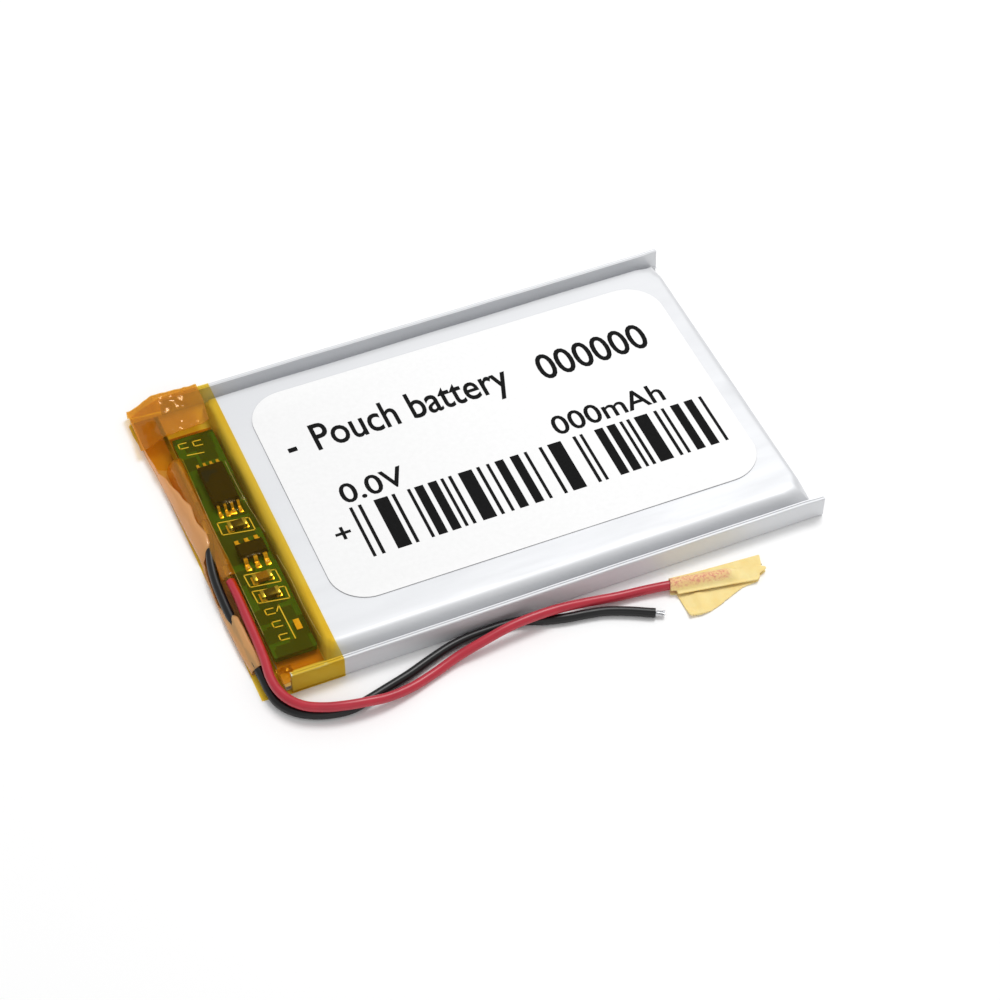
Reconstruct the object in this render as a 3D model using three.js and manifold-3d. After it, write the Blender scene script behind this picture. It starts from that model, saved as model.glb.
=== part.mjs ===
// Single-cell lithium polymer pouch pack with a protection board, two leads and a tape flag.
// Millimetres. +X from the taped head to the folded far end, +Y to the back, +Z up.
// The origin is at the middle of the pack's footprint, on the surface that it lies on.

import * as THREE from 'three';
import { mergeVertices } from 'three/addons/utils/BufferGeometryUtils.js';
import Module from 'manifold-3d';

const wasm = await Module();
wasm.setup();

// ---- Driving dimensions -------------------------------------------------------------------

const packLength = 50;
const packWidth = 33;
const packThickness = 2.3;

const contactGap = 0.02;         // between faces that touch
const sheetGap = 0.03;           // between the two halves of the laminate

const laminateThickness = 0.11;
const filmThickness = 0.06;      // polyimide tape
const labelThickness = 0.08;
const tabThickness = 0.08;
const sealantThickness = 0.03;
const separatorThickness = 0.02;
const windingTapeThickness = 0.03;

const headX = -packLength / 2;
const tailX = packLength / 2;
const halfWidth = packWidth / 2;

// Pouch: one sheet, drawn into a cup on its upper half and folded at the far end.
const topOfCup = packThickness - labelThickness - contactGap;
const flangeStart = headX + 2.7;
const terraceStart = headX + 2.4;
const shoulderFoot = headX + 6.2;
const shoulderDraft = 0.25;
const sideGroove = 1.2;          // how far the cup's side wall leans in
const grooveFloor = 0.3;         // flat strip between the flange and the cup's wall
const foldX = tailX - 0.22;      // outside of the fold at the far end
const foldLean = 0.6;
const foldShoulder = 1.0;        // height where the far wall starts to lean in
const joggleX = headX + 7.4;     // forward of this the sheet is raised for the tape under it

// Winding
const electrodeMargin = 0.4;     // separator past anode, and anode past cathode
const windingRuns = 5;           // flat runs of each strip, one above the other
const windingEndGap = 0.5;
const windingTapeWidth = 8;

// Tabs
const tabWidth = 3;
const positiveTabY = 8;
const negativeTabY = -7.5;
const tabInsideWinding = 9;
const tabBend = 0.195;           // radius of the tab's turn back over the terrace
const sealantWidth = 5;
const sealantReach = 0.4;        // sealant past the terrace, each way

// Protection board
const boardLength = 25.7;
const boardWidth = 3.65;
const boardThickness = 0.5;
const boardCentreY = -0.85;
const linkThickness = 0.1;
const linkLength = 4;

// Parts on the board
const mosfetSize = [2.3, 4.5];
const mosfetPlace = [headX + 4.35, 5.3];
const mosfetPitch = 0.58;
const mosfetLeadWidth = 0.22;
const controllerSize = [2.4, 1.5];
const controllerPlace = [headX + 4.5, -2.5];
const controllerPitch = 0.85;
const controllerLeadWidth = 0.34;
const leadReach = 0.85;          // foot of a chip's lead past the body
const frameThickness = 0.12;
const chipSize = [1.6, 0.8, 0.45];
const chipX = headX + 4.35;
const padSize = [0.5, 1.1, 0.05];
const padPlace = [headX + 5.33, -11.1];

// Tape on the head
const tapeEndX = headX + 7.3;
const mouthX = headX + 2.3;      // free edge of the upper film
const mouthBackY = 9;            // behind this the film closes down over the end
const lipHeight = 0.6;
const closedHeight = 1.0;
const leadExitY = -13.5;
const patchSize = [3.3, 3.8];

// Label
const labelSize = [38.6, 24.6];
const labelCentre = [3.4, 0.65];
const labelCorner = 3.3;
const labelTurn = -0.3;          // degrees, stuck on slightly askew

// Leads
const leadRadius = 0.4;
const leadBore = 0.24;
const strandRadius = 0.19;
const leadSides = 8;
const leadSteps = 32;

// Tape flag on the red lead's end
const flagThickness = 0.12;
const flagTurn = -10;            // degrees
const flagEntry = [9.84, -18.67];

// Route of the red lead, from its solder joint to the tape flag.
const redRoute = [
  [-23.1, -2.85, 1.1], [-23.12, -3.9, 1.12], [-23.1, -6.2, 1.18], [-23.18, -8.7, 1.2],
  [-23.22, -11, 1.2], [-23.35, -13.4, 1.26], [-23.55, -15.2, 1.32], [-23.45, -16.6, 1.32],
  [-22.95, -17.9, 1.3], [-22, -18.98, 1.3], [-20.55, -19.75, 1.3], [-19, -20.2, 1.28],
  [-17.4, -20.42, 1.15], [-15.6, -20.45, 0.85], [-13.5, -20.08, 0.55], [-11.3, -19.42, 0.43],
  [-8.9, -18.72, 0.62], [-6.4, -18.35, 1.02], [-4, -18.02, 1.27], [-1.7, -17.85, 1.29],
  [0.6, -17.78, 1.12], [2.9, -17.83, 0.8], [5.6, -18.08, 0.53], [7.6, -18.3, 0.52],
];

// Route of the black lead, from its solder joint to its bare end on the table.
const blackRoute = [
  [-23.1, 2.45, 1.1], [-23.12, 1.5, 1.12], [-23.35, 0.1, 1.05], [-23.85, -1.7, 0.92],
  [-24.15, -3.6, 0.8], [-24.25, -5.6, 0.7], [-24.25, -7.6, 0.6], [-24.15, -10, 0.52],
  [-24.05, -12.5, 0.5], [-23.95, -14.5, 0.5], [-23.92, -15.9, 0.48], [-23.68, -17.15, 0.42],
  [-22.9, -18.4, 0.41], [-21.55, -19.38, 0.41], [-20, -19.92, 0.41], [-18.5, -20.08, 0.41],
  [-17, -19.75, 0.41], [-15.3, -19.3, 0.41], [-13.1, -18.7, 0.41], [-10.9, -17.95, 0.41],
  [-9, -17.38, 0.41], [-7.4, -17.12, 0.41], [-5.8, -17.06, 0.41], [-4.2, -17.06, 0.41],
  [-2.6, -17.25, 0.41], [-0.9, -17.9, 0.41], [0.9, -18.38, 0.41], [2.5, -18.65, 0.41],
  [4.1, -19.02, 0.41], [5.9, -19.8, 0.41], [7.4, -20.6, 0.41], [8.4, -21.08, 0.41],
];

// ---- Shapes and solids --------------------------------------------------------------------

const frameXZ = new THREE.Matrix4().makeBasis(
  new THREE.Vector3(1, 0, 0),
  new THREE.Vector3(0, 0, 1),
  new THREE.Vector3(0, -1, 0),
);
const frameYZ = new THREE.Matrix4().makeBasis(
  new THREE.Vector3(0, 1, 0),
  new THREE.Vector3(0, 0, 1),
  new THREE.Vector3(1, 0, 0),
);

function outline(points) {
  return new THREE.Shape(points.map(([a, b]) => new THREE.Vector2(a, b)));
}

function extrude(shape, depth, options = {}) {
  return new THREE.ExtrudeGeometry(shape, { depth, bevelEnabled: false, ...options });
}

// A shape drawn in X and Z, from y0 to y1.
function alongY(shape, y0, y1) {
  return extrude(shape, y1 - y0).applyMatrix4(frameXZ).translate(0, y1, 0);
}

// A shape drawn in Y and Z, from x0 to x1.
function alongX(shape, x0, x1) {
  return extrude(shape, x1 - x0).applyMatrix4(frameYZ).translate(x0, 0, 0);
}

// A shape drawn in X and Y, from z0 to z1.
function alongZ(shape, z0, z1) {
  return extrude(shape, z1 - z0).translate(0, 0, z0);
}

function block([x0, y0, z0], [x1, y1, z1]) {
  const box = new THREE.BoxGeometry(x1 - x0, y1 - y0, z1 - z0);
  return box.translate((x0 + x1) / 2, (y0 + y1) / 2, (z0 + z1) / 2);
}

function roundedRectangle(width, height, radius) {
  const a = width / 2 - radius;
  const b = height / 2 - radius;
  const shape = new THREE.Shape();
  shape.absarc(a, b, radius, 0, Math.PI / 2);
  shape.absarc(-a, b, radius, Math.PI / 2, Math.PI);
  shape.absarc(-a, -b, radius, Math.PI, 1.5 * Math.PI);
  shape.absarc(a, -b, radius, 1.5 * Math.PI, 2 * Math.PI);
  return shape;
}

// A strip of even thickness that follows a path, mitred at its corners.
function ribbon(path, thickness, arcDivisions = 5) {
  const run = path.getPoints(arcDivisions);
  const offset = run.map((point, i) => {
    const before = i > 0 ? point.clone().sub(run[i - 1]).normalize() : null;
    const after = i < run.length - 1 ? run[i + 1].clone().sub(point).normalize() : null;
    const a = before ?? after;
    const b = after ?? before;
    const normal = new THREE.Vector2(-a.y - b.y, a.x + b.x).normalize();
    return normal.multiplyScalar(thickness / 2 / (-a.y * normal.x + a.x * normal.y));
  });
  const left = run.map((point, i) => point.clone().add(offset[i]));
  const right = run.map((point, i) => point.clone().sub(offset[i]));
  return new THREE.Shape([...left, ...right.reverse()]);
}

function toSolid(geometry) {
  const bare = geometry.clone();
  bare.deleteAttribute('normal');
  bare.deleteAttribute('uv');
  const merged = mergeVertices(bare, 1e-5);
  const vertProperties = new Float32Array(merged.attributes.position.array);
  const triVerts = new Uint32Array(merged.index.array);
  return new wasm.Manifold(new wasm.Mesh({ numProp: 3, vertProperties, triVerts }));
}

function toGeometry(solid) {
  const mesh = solid.getMesh();
  const geometry = new THREE.BufferGeometry();
  geometry.setAttribute('position', new THREE.BufferAttribute(mesh.vertProperties, 3));
  geometry.setIndex(new THREE.BufferAttribute(mesh.triVerts, 1));
  const flat = geometry.toNonIndexed();
  flat.computeVertexNormals();
  return flat;
}

function join(first, ...others) {
  const solid = others.reduce((sum, other) => sum.add(toSolid(other)), toSolid(first));
  return toGeometry(solid);
}

function cut(first, ...others) {
  const solid = others.reduce((rest, other) => rest.subtract(toSolid(other)), toSolid(first));
  return toGeometry(solid);
}

function common(first, second) {
  return toGeometry(toSolid(first).intersect(toSolid(second)));
}

// ---- Materials and assembly ---------------------------------------------------------------

const materials = {
  laminate: { color: 0xd9dadd, roughness: 0.38, metalness: 0.55 },
  anode: { color: 0x2b2b2d, roughness: 0.8, metalness: 0.1 },
  cathode: { color: 0x3d3c40, roughness: 0.75, metalness: 0.15 },
  separator: { color: 0xf0f0ea, roughness: 0.6, metalness: 0 },
  windingTape: { color: 0x3f8f5a, roughness: 0.5, metalness: 0 },
  aluminiumTab: { color: 0xc9cacc, roughness: 0.35, metalness: 0.9 },
  nickel: { color: 0xb4afa4, roughness: 0.35, metalness: 0.9 },
  sealant: { color: 0xe9e4d2, roughness: 0.5, metalness: 0 },
  label: { color: 0xfafafa, roughness: 0.55, metalness: 0 },
  polyimide: { color: 0xd9a520, roughness: 0.2, metalness: 0 },
  doubledPolyimide: { color: 0xc77a1c, roughness: 0.2, metalness: 0 },
  solderMask: { color: 0x1f4a22, roughness: 0.35, metalness: 0 },
  chipMoulding: { color: 0x17181a, roughness: 0.45, metalness: 0 },
  ceramic: { color: 0x6f5a44, roughness: 0.6, metalness: 0 },
  gold: { color: 0xd9a441, roughness: 0.3, metalness: 0.9 },
  solder: { color: 0xbfc1c4, roughness: 0.3, metalness: 0.9 },
  tinnedCopper: { color: 0xc6c7c9, roughness: 0.35, metalness: 0.9 },
  redInsulation: { color: 0xc43a4a, roughness: 0.45, metalness: 0 },
  blackInsulation: { color: 0x141414, roughness: 0.45, metalness: 0 },
  maskingTape: { color: 0xf3d678, roughness: 0.8, metalness: 0 },
};

const pack = new THREE.Group();

function addPart(name, geometry, finish) {
  const mesh = new THREE.Mesh(geometry, new THREE.MeshStandardMaterial(materials[finish]));
  mesh.name = name;
  pack.add(mesh);
  return mesh;
}

// ---- Pouch --------------------------------------------------------------------------------

const joggleRise = filmThickness + contactGap;
const headSheetTop = joggleRise + laminateThickness;
const terraceGap = tabThickness + 2 * sealantThickness + 2 * contactGap;
const terraceBottom = headSheetTop + terraceGap;
const terraceTop = terraceBottom + laminateThickness;
const floorBottom = laminateThickness + sheetGap;
const floorTop = floorBottom + laminateThickness;
const innerFlangeY = halfWidth - laminateThickness - sheetGap;
const cupFootY = innerFlangeY - laminateThickness - grooveFloor;
const cupTopY = cupFootY - sideGroove;
const shoulderTop = shoulderFoot + shoulderDraft;
const cupRoof = topOfCup - laminateThickness;
const flangeHeight = topOfCup;

// The cup's outer or inner form, drafted on all four sides. inset is 0 or the wall.
function cupForm(inset, floor) {
  const roof = topOfCup - inset;
  const across = alongX(outline([
    [-cupFootY + inset, floor], [cupFootY - inset, floor],
    [cupTopY - inset, roof], [-cupTopY + inset, roof],
  ]), headX, tailX);
  const lengthways = alongY(outline([
    [shoulderFoot + inset, floor], [foldX - inset, floor], [foldX - inset, foldShoulder],
    [foldX - foldLean - inset, roof], [shoulderTop + inset, roof],
  ]), -halfWidth, halfWidth);
  return common(across, lengthways);
}

// A block between two distances from the middle, on one side of the pack.
function standing(side, inner, outer, [x0, x1], [z0, z1]) {
  const [y0, y1] = side > 0 ? [inner, outer] : [-outer, -inner];
  return block([x0, y0, z0], [x1, y1, z1]);
}

function upperSheet() {
  const cup = cupForm(0, floorBottom);
  const fold = block([foldX - laminateThickness, -cupFootY, 0], [foldX, cupFootY, floorTop]);
  const sideFloor = block(
    [shoulderFoot, -innerFlangeY, floorBottom],
    [foldX, innerFlangeY, floorTop],
  );
  const terrace = block(
    [terraceStart, -innerFlangeY, terraceBottom],
    [shoulderFoot + laminateThickness, innerFlangeY, terraceTop],
  );
  const flanges = [-1, 1].map((side) => standing(
    side, innerFlangeY - laminateThickness, innerFlangeY,
    [flangeStart, tailX], [floorBottom, flangeHeight],
  ));
  return join(cup, fold, sideFloor, terrace, ...flanges);
}

function lowerSheet() {
  const floor = alongY(outline([
    [joggleX, 0], [foldX, 0], [foldX, laminateThickness],
    [joggleX - joggleRise, laminateThickness], [joggleX - 2 * joggleRise, headSheetTop],
    [terraceStart, headSheetTop], [terraceStart, joggleRise], [joggleX - joggleRise, joggleRise],
  ]), -halfWidth, halfWidth);
  const sideShape = outline([
    [flangeStart, joggleRise], [joggleX - joggleRise, joggleRise], [joggleX, 0],
    [tailX, 0], [tailX, flangeHeight], [flangeStart, flangeHeight],
  ]);
  const inside = halfWidth - laminateThickness;
  const flanges = [alongY(sideShape, -halfWidth, -inside), alongY(sideShape, inside, halfWidth)];
  return join(floor, ...flanges);
}

// Space between the two halves along the seams, open at the flanges' top edges and the terrace.
function seamSpace() {
  const y = innerFlangeY + sheetGap;
  const wallInside = shoulderFoot + laminateThickness;
  const under = block([joggleX, -y, laminateThickness], [foldX - laminateThickness, y, floorBottom]);
  const head = block([headX, -y, headSheetTop], [wallInside, y, terraceBottom]);
  const step = block([shoulderFoot, -y, headSheetTop], [joggleX, y, headSheetTop + sheetGap]);
  const sides = [-1, 1].flatMap((side) => [
    standing(side, innerFlangeY, y, [headX, joggleX], [headSheetTop, packThickness]),
    standing(side, innerFlangeY, y, [joggleX, tailX + 1], [laminateThickness, packThickness]),
  ]);
  return [under, head, step, ...sides];
}

addPart(
  'pouch_laminate',
  cut(
    join(upperSheet(), lowerSheet()),
    cut(cupForm(laminateThickness, laminateThickness), block(
      [headX, -halfWidth, 0], [joggleX, halfWidth, headSheetTop],
    )),
    ...seamSpace(),
  ),
  'laminate',
);

// ---- Winding ------------------------------------------------------------------------------

const cavityFloor = headSheetTop;
const windingBottom = cavityFloor + sheetGap;
const windingTop = cupRoof - sheetGap - windingTapeThickness - contactGap;
const windingHeight = windingTop - windingBottom;
const mandrelGap = tabThickness / 2 + contactGap;
const turnPitch = (windingHeight + 2 * contactGap - 2 * mandrelGap) / windingRuns;
const electrodeThickness = (turnPitch - 2 * separatorThickness - 4 * contactGap) / 2;
const windingAxisZ = windingBottom + mandrelGap + 2 * turnPitch - contactGap;
const leftReach = mandrelGap + 2.5 * turnPitch - contactGap;
const runHalf = cupTopY - laminateThickness - leftReach;
const windingStart = shoulderTop + laminateThickness + windingEndGap;
const windingEnd = foldX - foldLean - laminateThickness;

// A flat spiral: right ends turn about one centre, left ends about one half a pitch higher.
function windingPath(radius) {
  const path = new THREE.Path();
  const z = windingAxisZ;
  path.moveTo(-runHalf + tabWidth, z + radius);
  for (let turn = 0; turn < (windingRuns - 1) / 2; turn += 1) {
    const r = radius + turn * turnPitch;
    path.lineTo(runHalf, z + r);
    path.absarc(runHalf, z, r, Math.PI / 2, -Math.PI / 2, true);
    path.lineTo(-runHalf, z - r);
    path.absarc(-runHalf, z + turnPitch / 2, r + turnPitch / 2, 1.5 * Math.PI, Math.PI / 2, true);
  }
  path.lineTo(runHalf, z + radius + turnPitch * (windingRuns - 1) / 2);
  return path;
}

const strips = [
  ['anode_strip', electrodeThickness, electrodeMargin, 'anode'],
  ['separator_inner', separatorThickness, 0, 'separator'],
  ['cathode_strip', electrodeThickness, 2 * electrodeMargin, 'cathode'],
  ['separator_outer', separatorThickness, 0, 'separator'],
];

let stripInside = mandrelGap;
for (const [name, thickness, margin, finish] of strips) {
  const shape = ribbon(windingPath(stripInside + thickness / 2), thickness);
  addPart(name, alongX(shape, windingStart + margin, windingEnd - margin), finish);
  stripInside += thickness + contactGap;
}

function windingTapePath() {
  const z = windingTop + contactGap + windingTapeThickness / 2;
  const radius = z - windingAxisZ;
  const path = new THREE.Path();
  path.moveTo(runHalf - 3, z);
  path.lineTo(runHalf, z);
  path.absarc(runHalf, windingAxisZ, radius, Math.PI / 2, 0, true);
  return path;
}

const windingMiddle = (windingStart + windingEnd) / 2;
addPart('winding_end_tape', alongX(
  ribbon(windingTapePath(), windingTapeThickness),
  windingMiddle - windingTapeWidth / 2,
  windingMiddle + windingTapeWidth / 2,
), 'windingTape');

// ---- Tabs, sealant and links --------------------------------------------------------------

const tabLevel = headSheetTop + terraceGap / 2;
const tabUpperLevel = tabLevel + 2 * tabBend;
const linkBottom = tabUpperLevel + tabThickness / 2 + contactGap;
const boardBottom = linkBottom + linkThickness + contactGap;
const boardTop = boardBottom + boardThickness;
const boardOuterX = terraceStart;
const boardInnerX = boardOuterX + boardWidth;

// Out of the winding, down to the terrace, out past its edge and back over under the board.
function tabPath() {
  const path = new THREE.Path();
  path.moveTo(windingStart + tabInsideWinding, windingAxisZ);
  path.lineTo(windingStart - contactGap, windingAxisZ);
  path.lineTo(shoulderFoot + laminateThickness + contactGap, tabLevel);
  path.lineTo(terraceStart, tabLevel);
  path.absarc(terraceStart, tabLevel + tabBend, tabBend, 1.5 * Math.PI, Math.PI / 2, true);
  path.lineTo(boardOuterX + linkLength / 2, tabUpperLevel);
  return path;
}

for (const [name, y, finish] of [
  ['positive', positiveTabY, 'aluminiumTab'],
  ['negative', negativeTabY, 'nickel'],
]) {
  const tab = alongY(ribbon(tabPath(), tabThickness), y - tabWidth / 2, y + tabWidth / 2);
  addPart(`${name}_tab`, tab, finish);

  const half = tabThickness / 2 + contactGap / 2;
  const sealant = cut(
    block(
      [terraceStart - sealantReach / 2, y - sealantWidth / 2, tabLevel - half - sealantThickness],
      [shoulderFoot - sealantReach, y + sealantWidth / 2, tabLevel + half + sealantThickness],
    ),
    block(
      [headX, y - tabWidth / 2 - contactGap, tabLevel - half],
      [shoulderFoot, y + tabWidth / 2 + contactGap, tabLevel + half],
    ),
    block([headX, y - sealantWidth, tabLevel], [terraceStart, y + sealantWidth, terraceTop]),
  );
  addPart(`${name}_tab_sealant`, sealant, 'sealant');

  addPart(`${name}_nickel_link`, block(
    [boardOuterX + contactGap, y - linkLength / 2, linkBottom],
    [boardInnerX - linkThickness, y + linkLength / 2, linkBottom + linkThickness],
  ), 'nickel');
}

// ---- Protection board ---------------------------------------------------------------------

const boardBackY = boardCentreY + boardLength / 2;
const boardFrontY = boardCentreY - boardLength / 2;
const boardCentreX = (boardOuterX + boardInnerX) / 2;

addPart('pcb_underlay_tape', block(
  [terraceStart + contactGap, boardFrontY - 1, terraceTop + contactGap],
  [shoulderFoot - contactGap, boardBackY + 1, terraceTop + contactGap + filmThickness],
), 'doubledPolyimide');

addPart('circuit_board', alongZ(
  roundedRectangle(boardWidth, boardLength, 0.15),
  boardBottom,
  boardTop,
).translate(boardCentreX, boardCentreY, 0), 'solderMask');

addPart('board_test_pad', block(
  [padPlace[0] - padSize[0] / 2, padPlace[1] - padSize[1] / 2, boardTop + contactGap],
  [padPlace[0] + padSize[0] / 2, padPlace[1] + padSize[1] / 2, boardTop + contactGap + padSize[2]],
), 'gold');

const tapeRoof = topOfCup + contactGap;
const partSeat = boardTop + contactGap;

// One gull-wing lead: out of the body, down, and a foot on the board.
function leadShape(bodyEdge, shelf, outward, grow) {
  const foot = partSeat + frameThickness / 2;
  const path = new THREE.Path();
  path.moveTo(outward * (bodyEdge - 2 * frameThickness), shelf);
  path.lineTo(outward * (bodyEdge + 0.22 * leadReach), shelf);
  path.lineTo(outward * (bodyEdge + 0.45 * leadReach), foot);
  path.lineTo(outward * (bodyEdge + leadReach), foot);
  return ribbon(path, frameThickness + 2 * grow);
}

function leadframe(size, place, count, pitch, leadWidth, shelf, grow) {
  const [width, length] = size;
  const edge = length / 2;
  const paddle = block(
    [-width / 2 + 2 * frameThickness - grow, -edge + frameThickness - grow, shelf - frameThickness / 2 - grow],
    [width / 2 - 2 * frameThickness + grow, edge - frameThickness + grow, shelf + frameThickness / 2 + grow],
  );
  const leads = [];
  for (const side of [-1, 1]) {
    for (let i = 0; i < count; i += 1) {
      const x = (i - (count - 1) / 2) * pitch;
      const shape = leadShape(edge, shelf, side, grow);
      leads.push(alongX(shape, x - leadWidth / 2 - grow, x + leadWidth / 2 + grow));
    }
  }
  return join(paddle, ...leads).translate(place[0], place[1], 0);
}

// A moulded body with drafted sides, slotted for its leads.
function chipBody(size, place, height, standOff) {
  const [width, length] = size;
  const draft = 0.12;
  const bottom = partSeat + standOff;
  const shape = outline([
    [-width / 2 + draft, -length / 2 + draft], [width / 2 - draft, -length / 2 + draft],
    [width / 2 - draft, length / 2 - draft], [-width / 2 + draft, length / 2 - draft],
  ]);
  const options = { bevelEnabled: true, bevelThickness: (height - standOff) / 2 - 0.02 };
  options.bevelSize = draft;
  options.bevelSegments = 1;
  const body = extrude(shape, 0.04, options).translate(0, 0, bottom + options.bevelThickness);
  return body.translate(place[0], place[1], 0);
}

function addChip(name, size, place, height, count, pitch, leadWidth) {
  const standOff = 0.06;
  const shelf = partSeat + (height + standOff) / 2;
  addPart(`${name}_leadframe`, leadframe(size, place, count, pitch, leadWidth, shelf, 0), 'gold');
  const slots = leadframe(size, place, count, pitch, leadWidth, shelf, contactGap);
  addPart(`${name}_body`, cut(chipBody(size, place, height, standOff), slots), 'chipMoulding');
}

const mosfetHeight = tapeRoof - contactGap - partSeat;
const controllerHeight = mosfetHeight - 0.05;
addChip('mosfet', mosfetSize, mosfetPlace, mosfetHeight, 4, mosfetPitch, mosfetLeadWidth);
addChip('controller', controllerSize, controllerPlace, controllerHeight, 3, controllerPitch,
  controllerLeadWidth);

for (const [name, y] of [
  ['series_resistor', 0.68],
  ['filter_capacitor', -5.45],
  ['sense_resistor', -7.35],
]) {
  addPart(name, block(
    [chipX - chipSize[0] / 2, y - chipSize[1] / 2, partSeat],
    [chipX + chipSize[0] / 2, y + chipSize[1] / 2, partSeat + chipSize[2]],
  ), 'ceramic');
}

// ---- Tape round the head ------------------------------------------------------------------

const wrapSide = halfWidth + contactGap + filmThickness;
const wrapTop = tapeRoof + filmThickness;

function wrapForm(inset, pastEnd) {
  const left = headX + inset;
  const right = tapeEndX + pastEnd;
  return alongY(outline([
    [right, inset], [right, wrapTop - inset], [flangeStart + inset, wrapTop - inset],
    [left, closedHeight - inset], [left, inset],
  ]), -wrapSide + inset, wrapSide - inset);
}

addPart('head_wrap_tape', cut(
  wrapForm(0, 0),
  wrapForm(filmThickness, 1),
  block([headX - 1, -wrapSide - 1, lipHeight], [mouthX, mouthBackY, wrapTop + 1]),
  block([headX - 1, -wrapSide - 1, filmThickness], [flangeStart, leadExitY, wrapTop + 1]),
), 'polyimide');

const patchTop = tapeRoof - contactGap;
const patchBackY = innerFlangeY - laminateThickness - contactGap;
addPart('corner_tape_patch', block(
  [shoulderFoot - patchSize[0], patchBackY - patchSize[1], patchTop - filmThickness],
  [shoulderFoot, patchBackY, patchTop],
), 'doubledPolyimide');

// ---- Label --------------------------------------------------------------------------------

const label = addPart('cell_label', alongZ(
  roundedRectangle(labelSize[0], labelSize[1], labelCorner),
  0,
  labelThickness,
), 'label');
label.position.set(labelCentre[0], labelCentre[1], topOfCup + contactGap);
label.rotation.z = THREE.MathUtils.degToRad(labelTurn);

// ---- Leads --------------------------------------------------------------------------------

// A route sampled once, so that the strands and the insulation round them bend at one set of points.
class SampledRoute extends THREE.Curve {
  constructor(points) {
    super();
    this.points = points;
  }

  getPoint(t, target = new THREE.Vector3()) {
    const place = t * (this.points.length - 1);
    const i = Math.min(Math.floor(place), this.points.length - 2);
    return target.lerpVectors(this.points[i], this.points[i + 1], place - i);
  }

  getPointAt(u, target) {
    return this.getPoint(u, target);
  }

  getTangentAt(u, target) {
    return this.getTangent(u, target);
  }
}

function circle(radius, sides) {
  const corners = [];
  for (let i = 0; i < sides; i += 1) {
    const angle = (i + 0.5) * 2 * Math.PI / sides;
    corners.push(new THREE.Vector2(radius * Math.cos(angle), radius * Math.sin(angle)));
  }
  return corners;
}

function tube(points, radius, bore) {
  const shape = new THREE.Shape(circle(radius, leadSides));
  if (bore) {
    shape.holes.push(new THREE.Path(circle(bore, leadSides).reverse()));
  }
  return new THREE.ExtrudeGeometry(shape, {
    steps: points.length - 1,
    bevelEnabled: false,
    extrudePath: new SampledRoute(points),
  });
}

// bareStart and bareEnd count the samples where the strands are stripped.
function addLead(name, route, bareStart, bareEnd, finish) {
  const curve = new THREE.CatmullRomCurve3(
    route.map((point) => new THREE.Vector3(...point)),
    false,
    'centripetal',
  );
  const samples = curve.getSpacedPoints(leadSteps);
  addPart(`${name}_lead_conductor`, tube(samples, strandRadius, 0), 'tinnedCopper');
  const covered = samples.slice(bareStart, samples.length - bareEnd);
  addPart(`${name}_lead_insulation`, tube(covered, leadRadius, leadBore), finish);
}

// The red lead ends straight, inside the flag, so that the flag can be drawn off along it.
const flagAngle = THREE.MathUtils.degToRad(flagTurn);
const wireInFlag = 5.2;
const wireLevel = flagThickness + 2 * contactGap + leadRadius;

function flagPoint(along) {
  return [
    flagEntry[0] + along * Math.cos(flagAngle),
    flagEntry[1] + along * Math.sin(flagAngle),
    wireLevel,
  ];
}

const redEnd = [-0.6, 0.4, 1.6, 2.8, 4, wireInFlag].map(flagPoint);
addLead('red', [...redRoute, ...redEnd], 1, 1, 'redInsulation');
addLead('black', blackRoute, 1, 1, 'blackInsulation');

// A rounded bead of solder on the board's outer edge, where each lead's strands end.
function solderBead(y) {
  const radius = 0.34;
  const height = 0.42;
  const profile = [new THREE.Vector2(0, 0), new THREE.Vector2(radius, 0)];
  for (let i = 1; i <= 4; i += 1) {
    const angle = i * Math.PI / 8;
    profile.push(new THREE.Vector2(radius * Math.cos(angle), height * Math.sin(angle)));
  }
  profile[profile.length - 1].x = 0;
  const bead = new THREE.LatheGeometry(profile, 12);
  return bead.rotateZ(Math.PI / 2).translate(
    boardOuterX - contactGap,
    y,
    boardTop - boardThickness / 2,
  );
}

const beadClearance = 0.4;
addPart('red_lead_solder', solderBead(redRoute[0][1] + beadClearance), 'solder');
addPart('black_lead_solder', solderBead(blackRoute[0][1] + beadClearance), 'solder');

// ---- Tape flag ----------------------------------------------------------------------------

// Local frame: +X along the lead towards its end, +Y to the flag's folded back edge.
const flagBack = 1.7;
const flagFrontEdge = 1.25;
const flagLowerEdge = 3.3;

function flagSection() {
  const half = flagThickness / 2;
  const crown = wireLevel + leadRadius + contactGap + half;
  const side = leadRadius + contactGap + half;
  const fold = (3 * flagThickness) / 2;
  const path = new THREE.Path();
  path.moveTo(-flagLowerEdge, half);
  path.lineTo(flagBack - fold, half);
  path.lineTo(flagBack - half, half + fold / 2);
  path.lineTo(flagBack - fold, half + fold);
  path.lineTo(1.9 * side, 2 * fold);
  path.lineTo(side, wireLevel + 0.45 * leadRadius);
  path.lineTo(0.4 * side, crown);
  path.lineTo(-0.4 * side, crown);
  path.lineTo(-side, wireLevel + 0.45 * leadRadius);
  path.lineTo(-flagFrontEdge, half + fold);
  return path;
}

function flagPlan() {
  return outline([
    [0.29, 0.84], [8.3, flagBack], [8.38, 0], [7.8, -0.34], [7.54, -0.9], [6.2, -1.15],
    [2.94, -3], [1.87, -3.27], [0.97, -3], [0.54, -0.6], [0.05, -0.67],
  ]);
}

const flagLength = 8.6;
const flag = addPart('end_flag_tape', common(
  alongX(ribbon(flagSection(), flagThickness), -0.1, flagLength),
  alongZ(flagPlan(), -1, packThickness),
), 'maskingTape');
flag.position.set(flagEntry[0], flagEntry[1], 0);
flag.rotation.z = flagAngle;

export default pack;
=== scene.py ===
"""Single-cell lithium polymer pouch pack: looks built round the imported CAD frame.

Metres, in the CAD frame: +X from the taped head to the folded far end, +Y to the back, +Z up.
"""

import math

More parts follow.
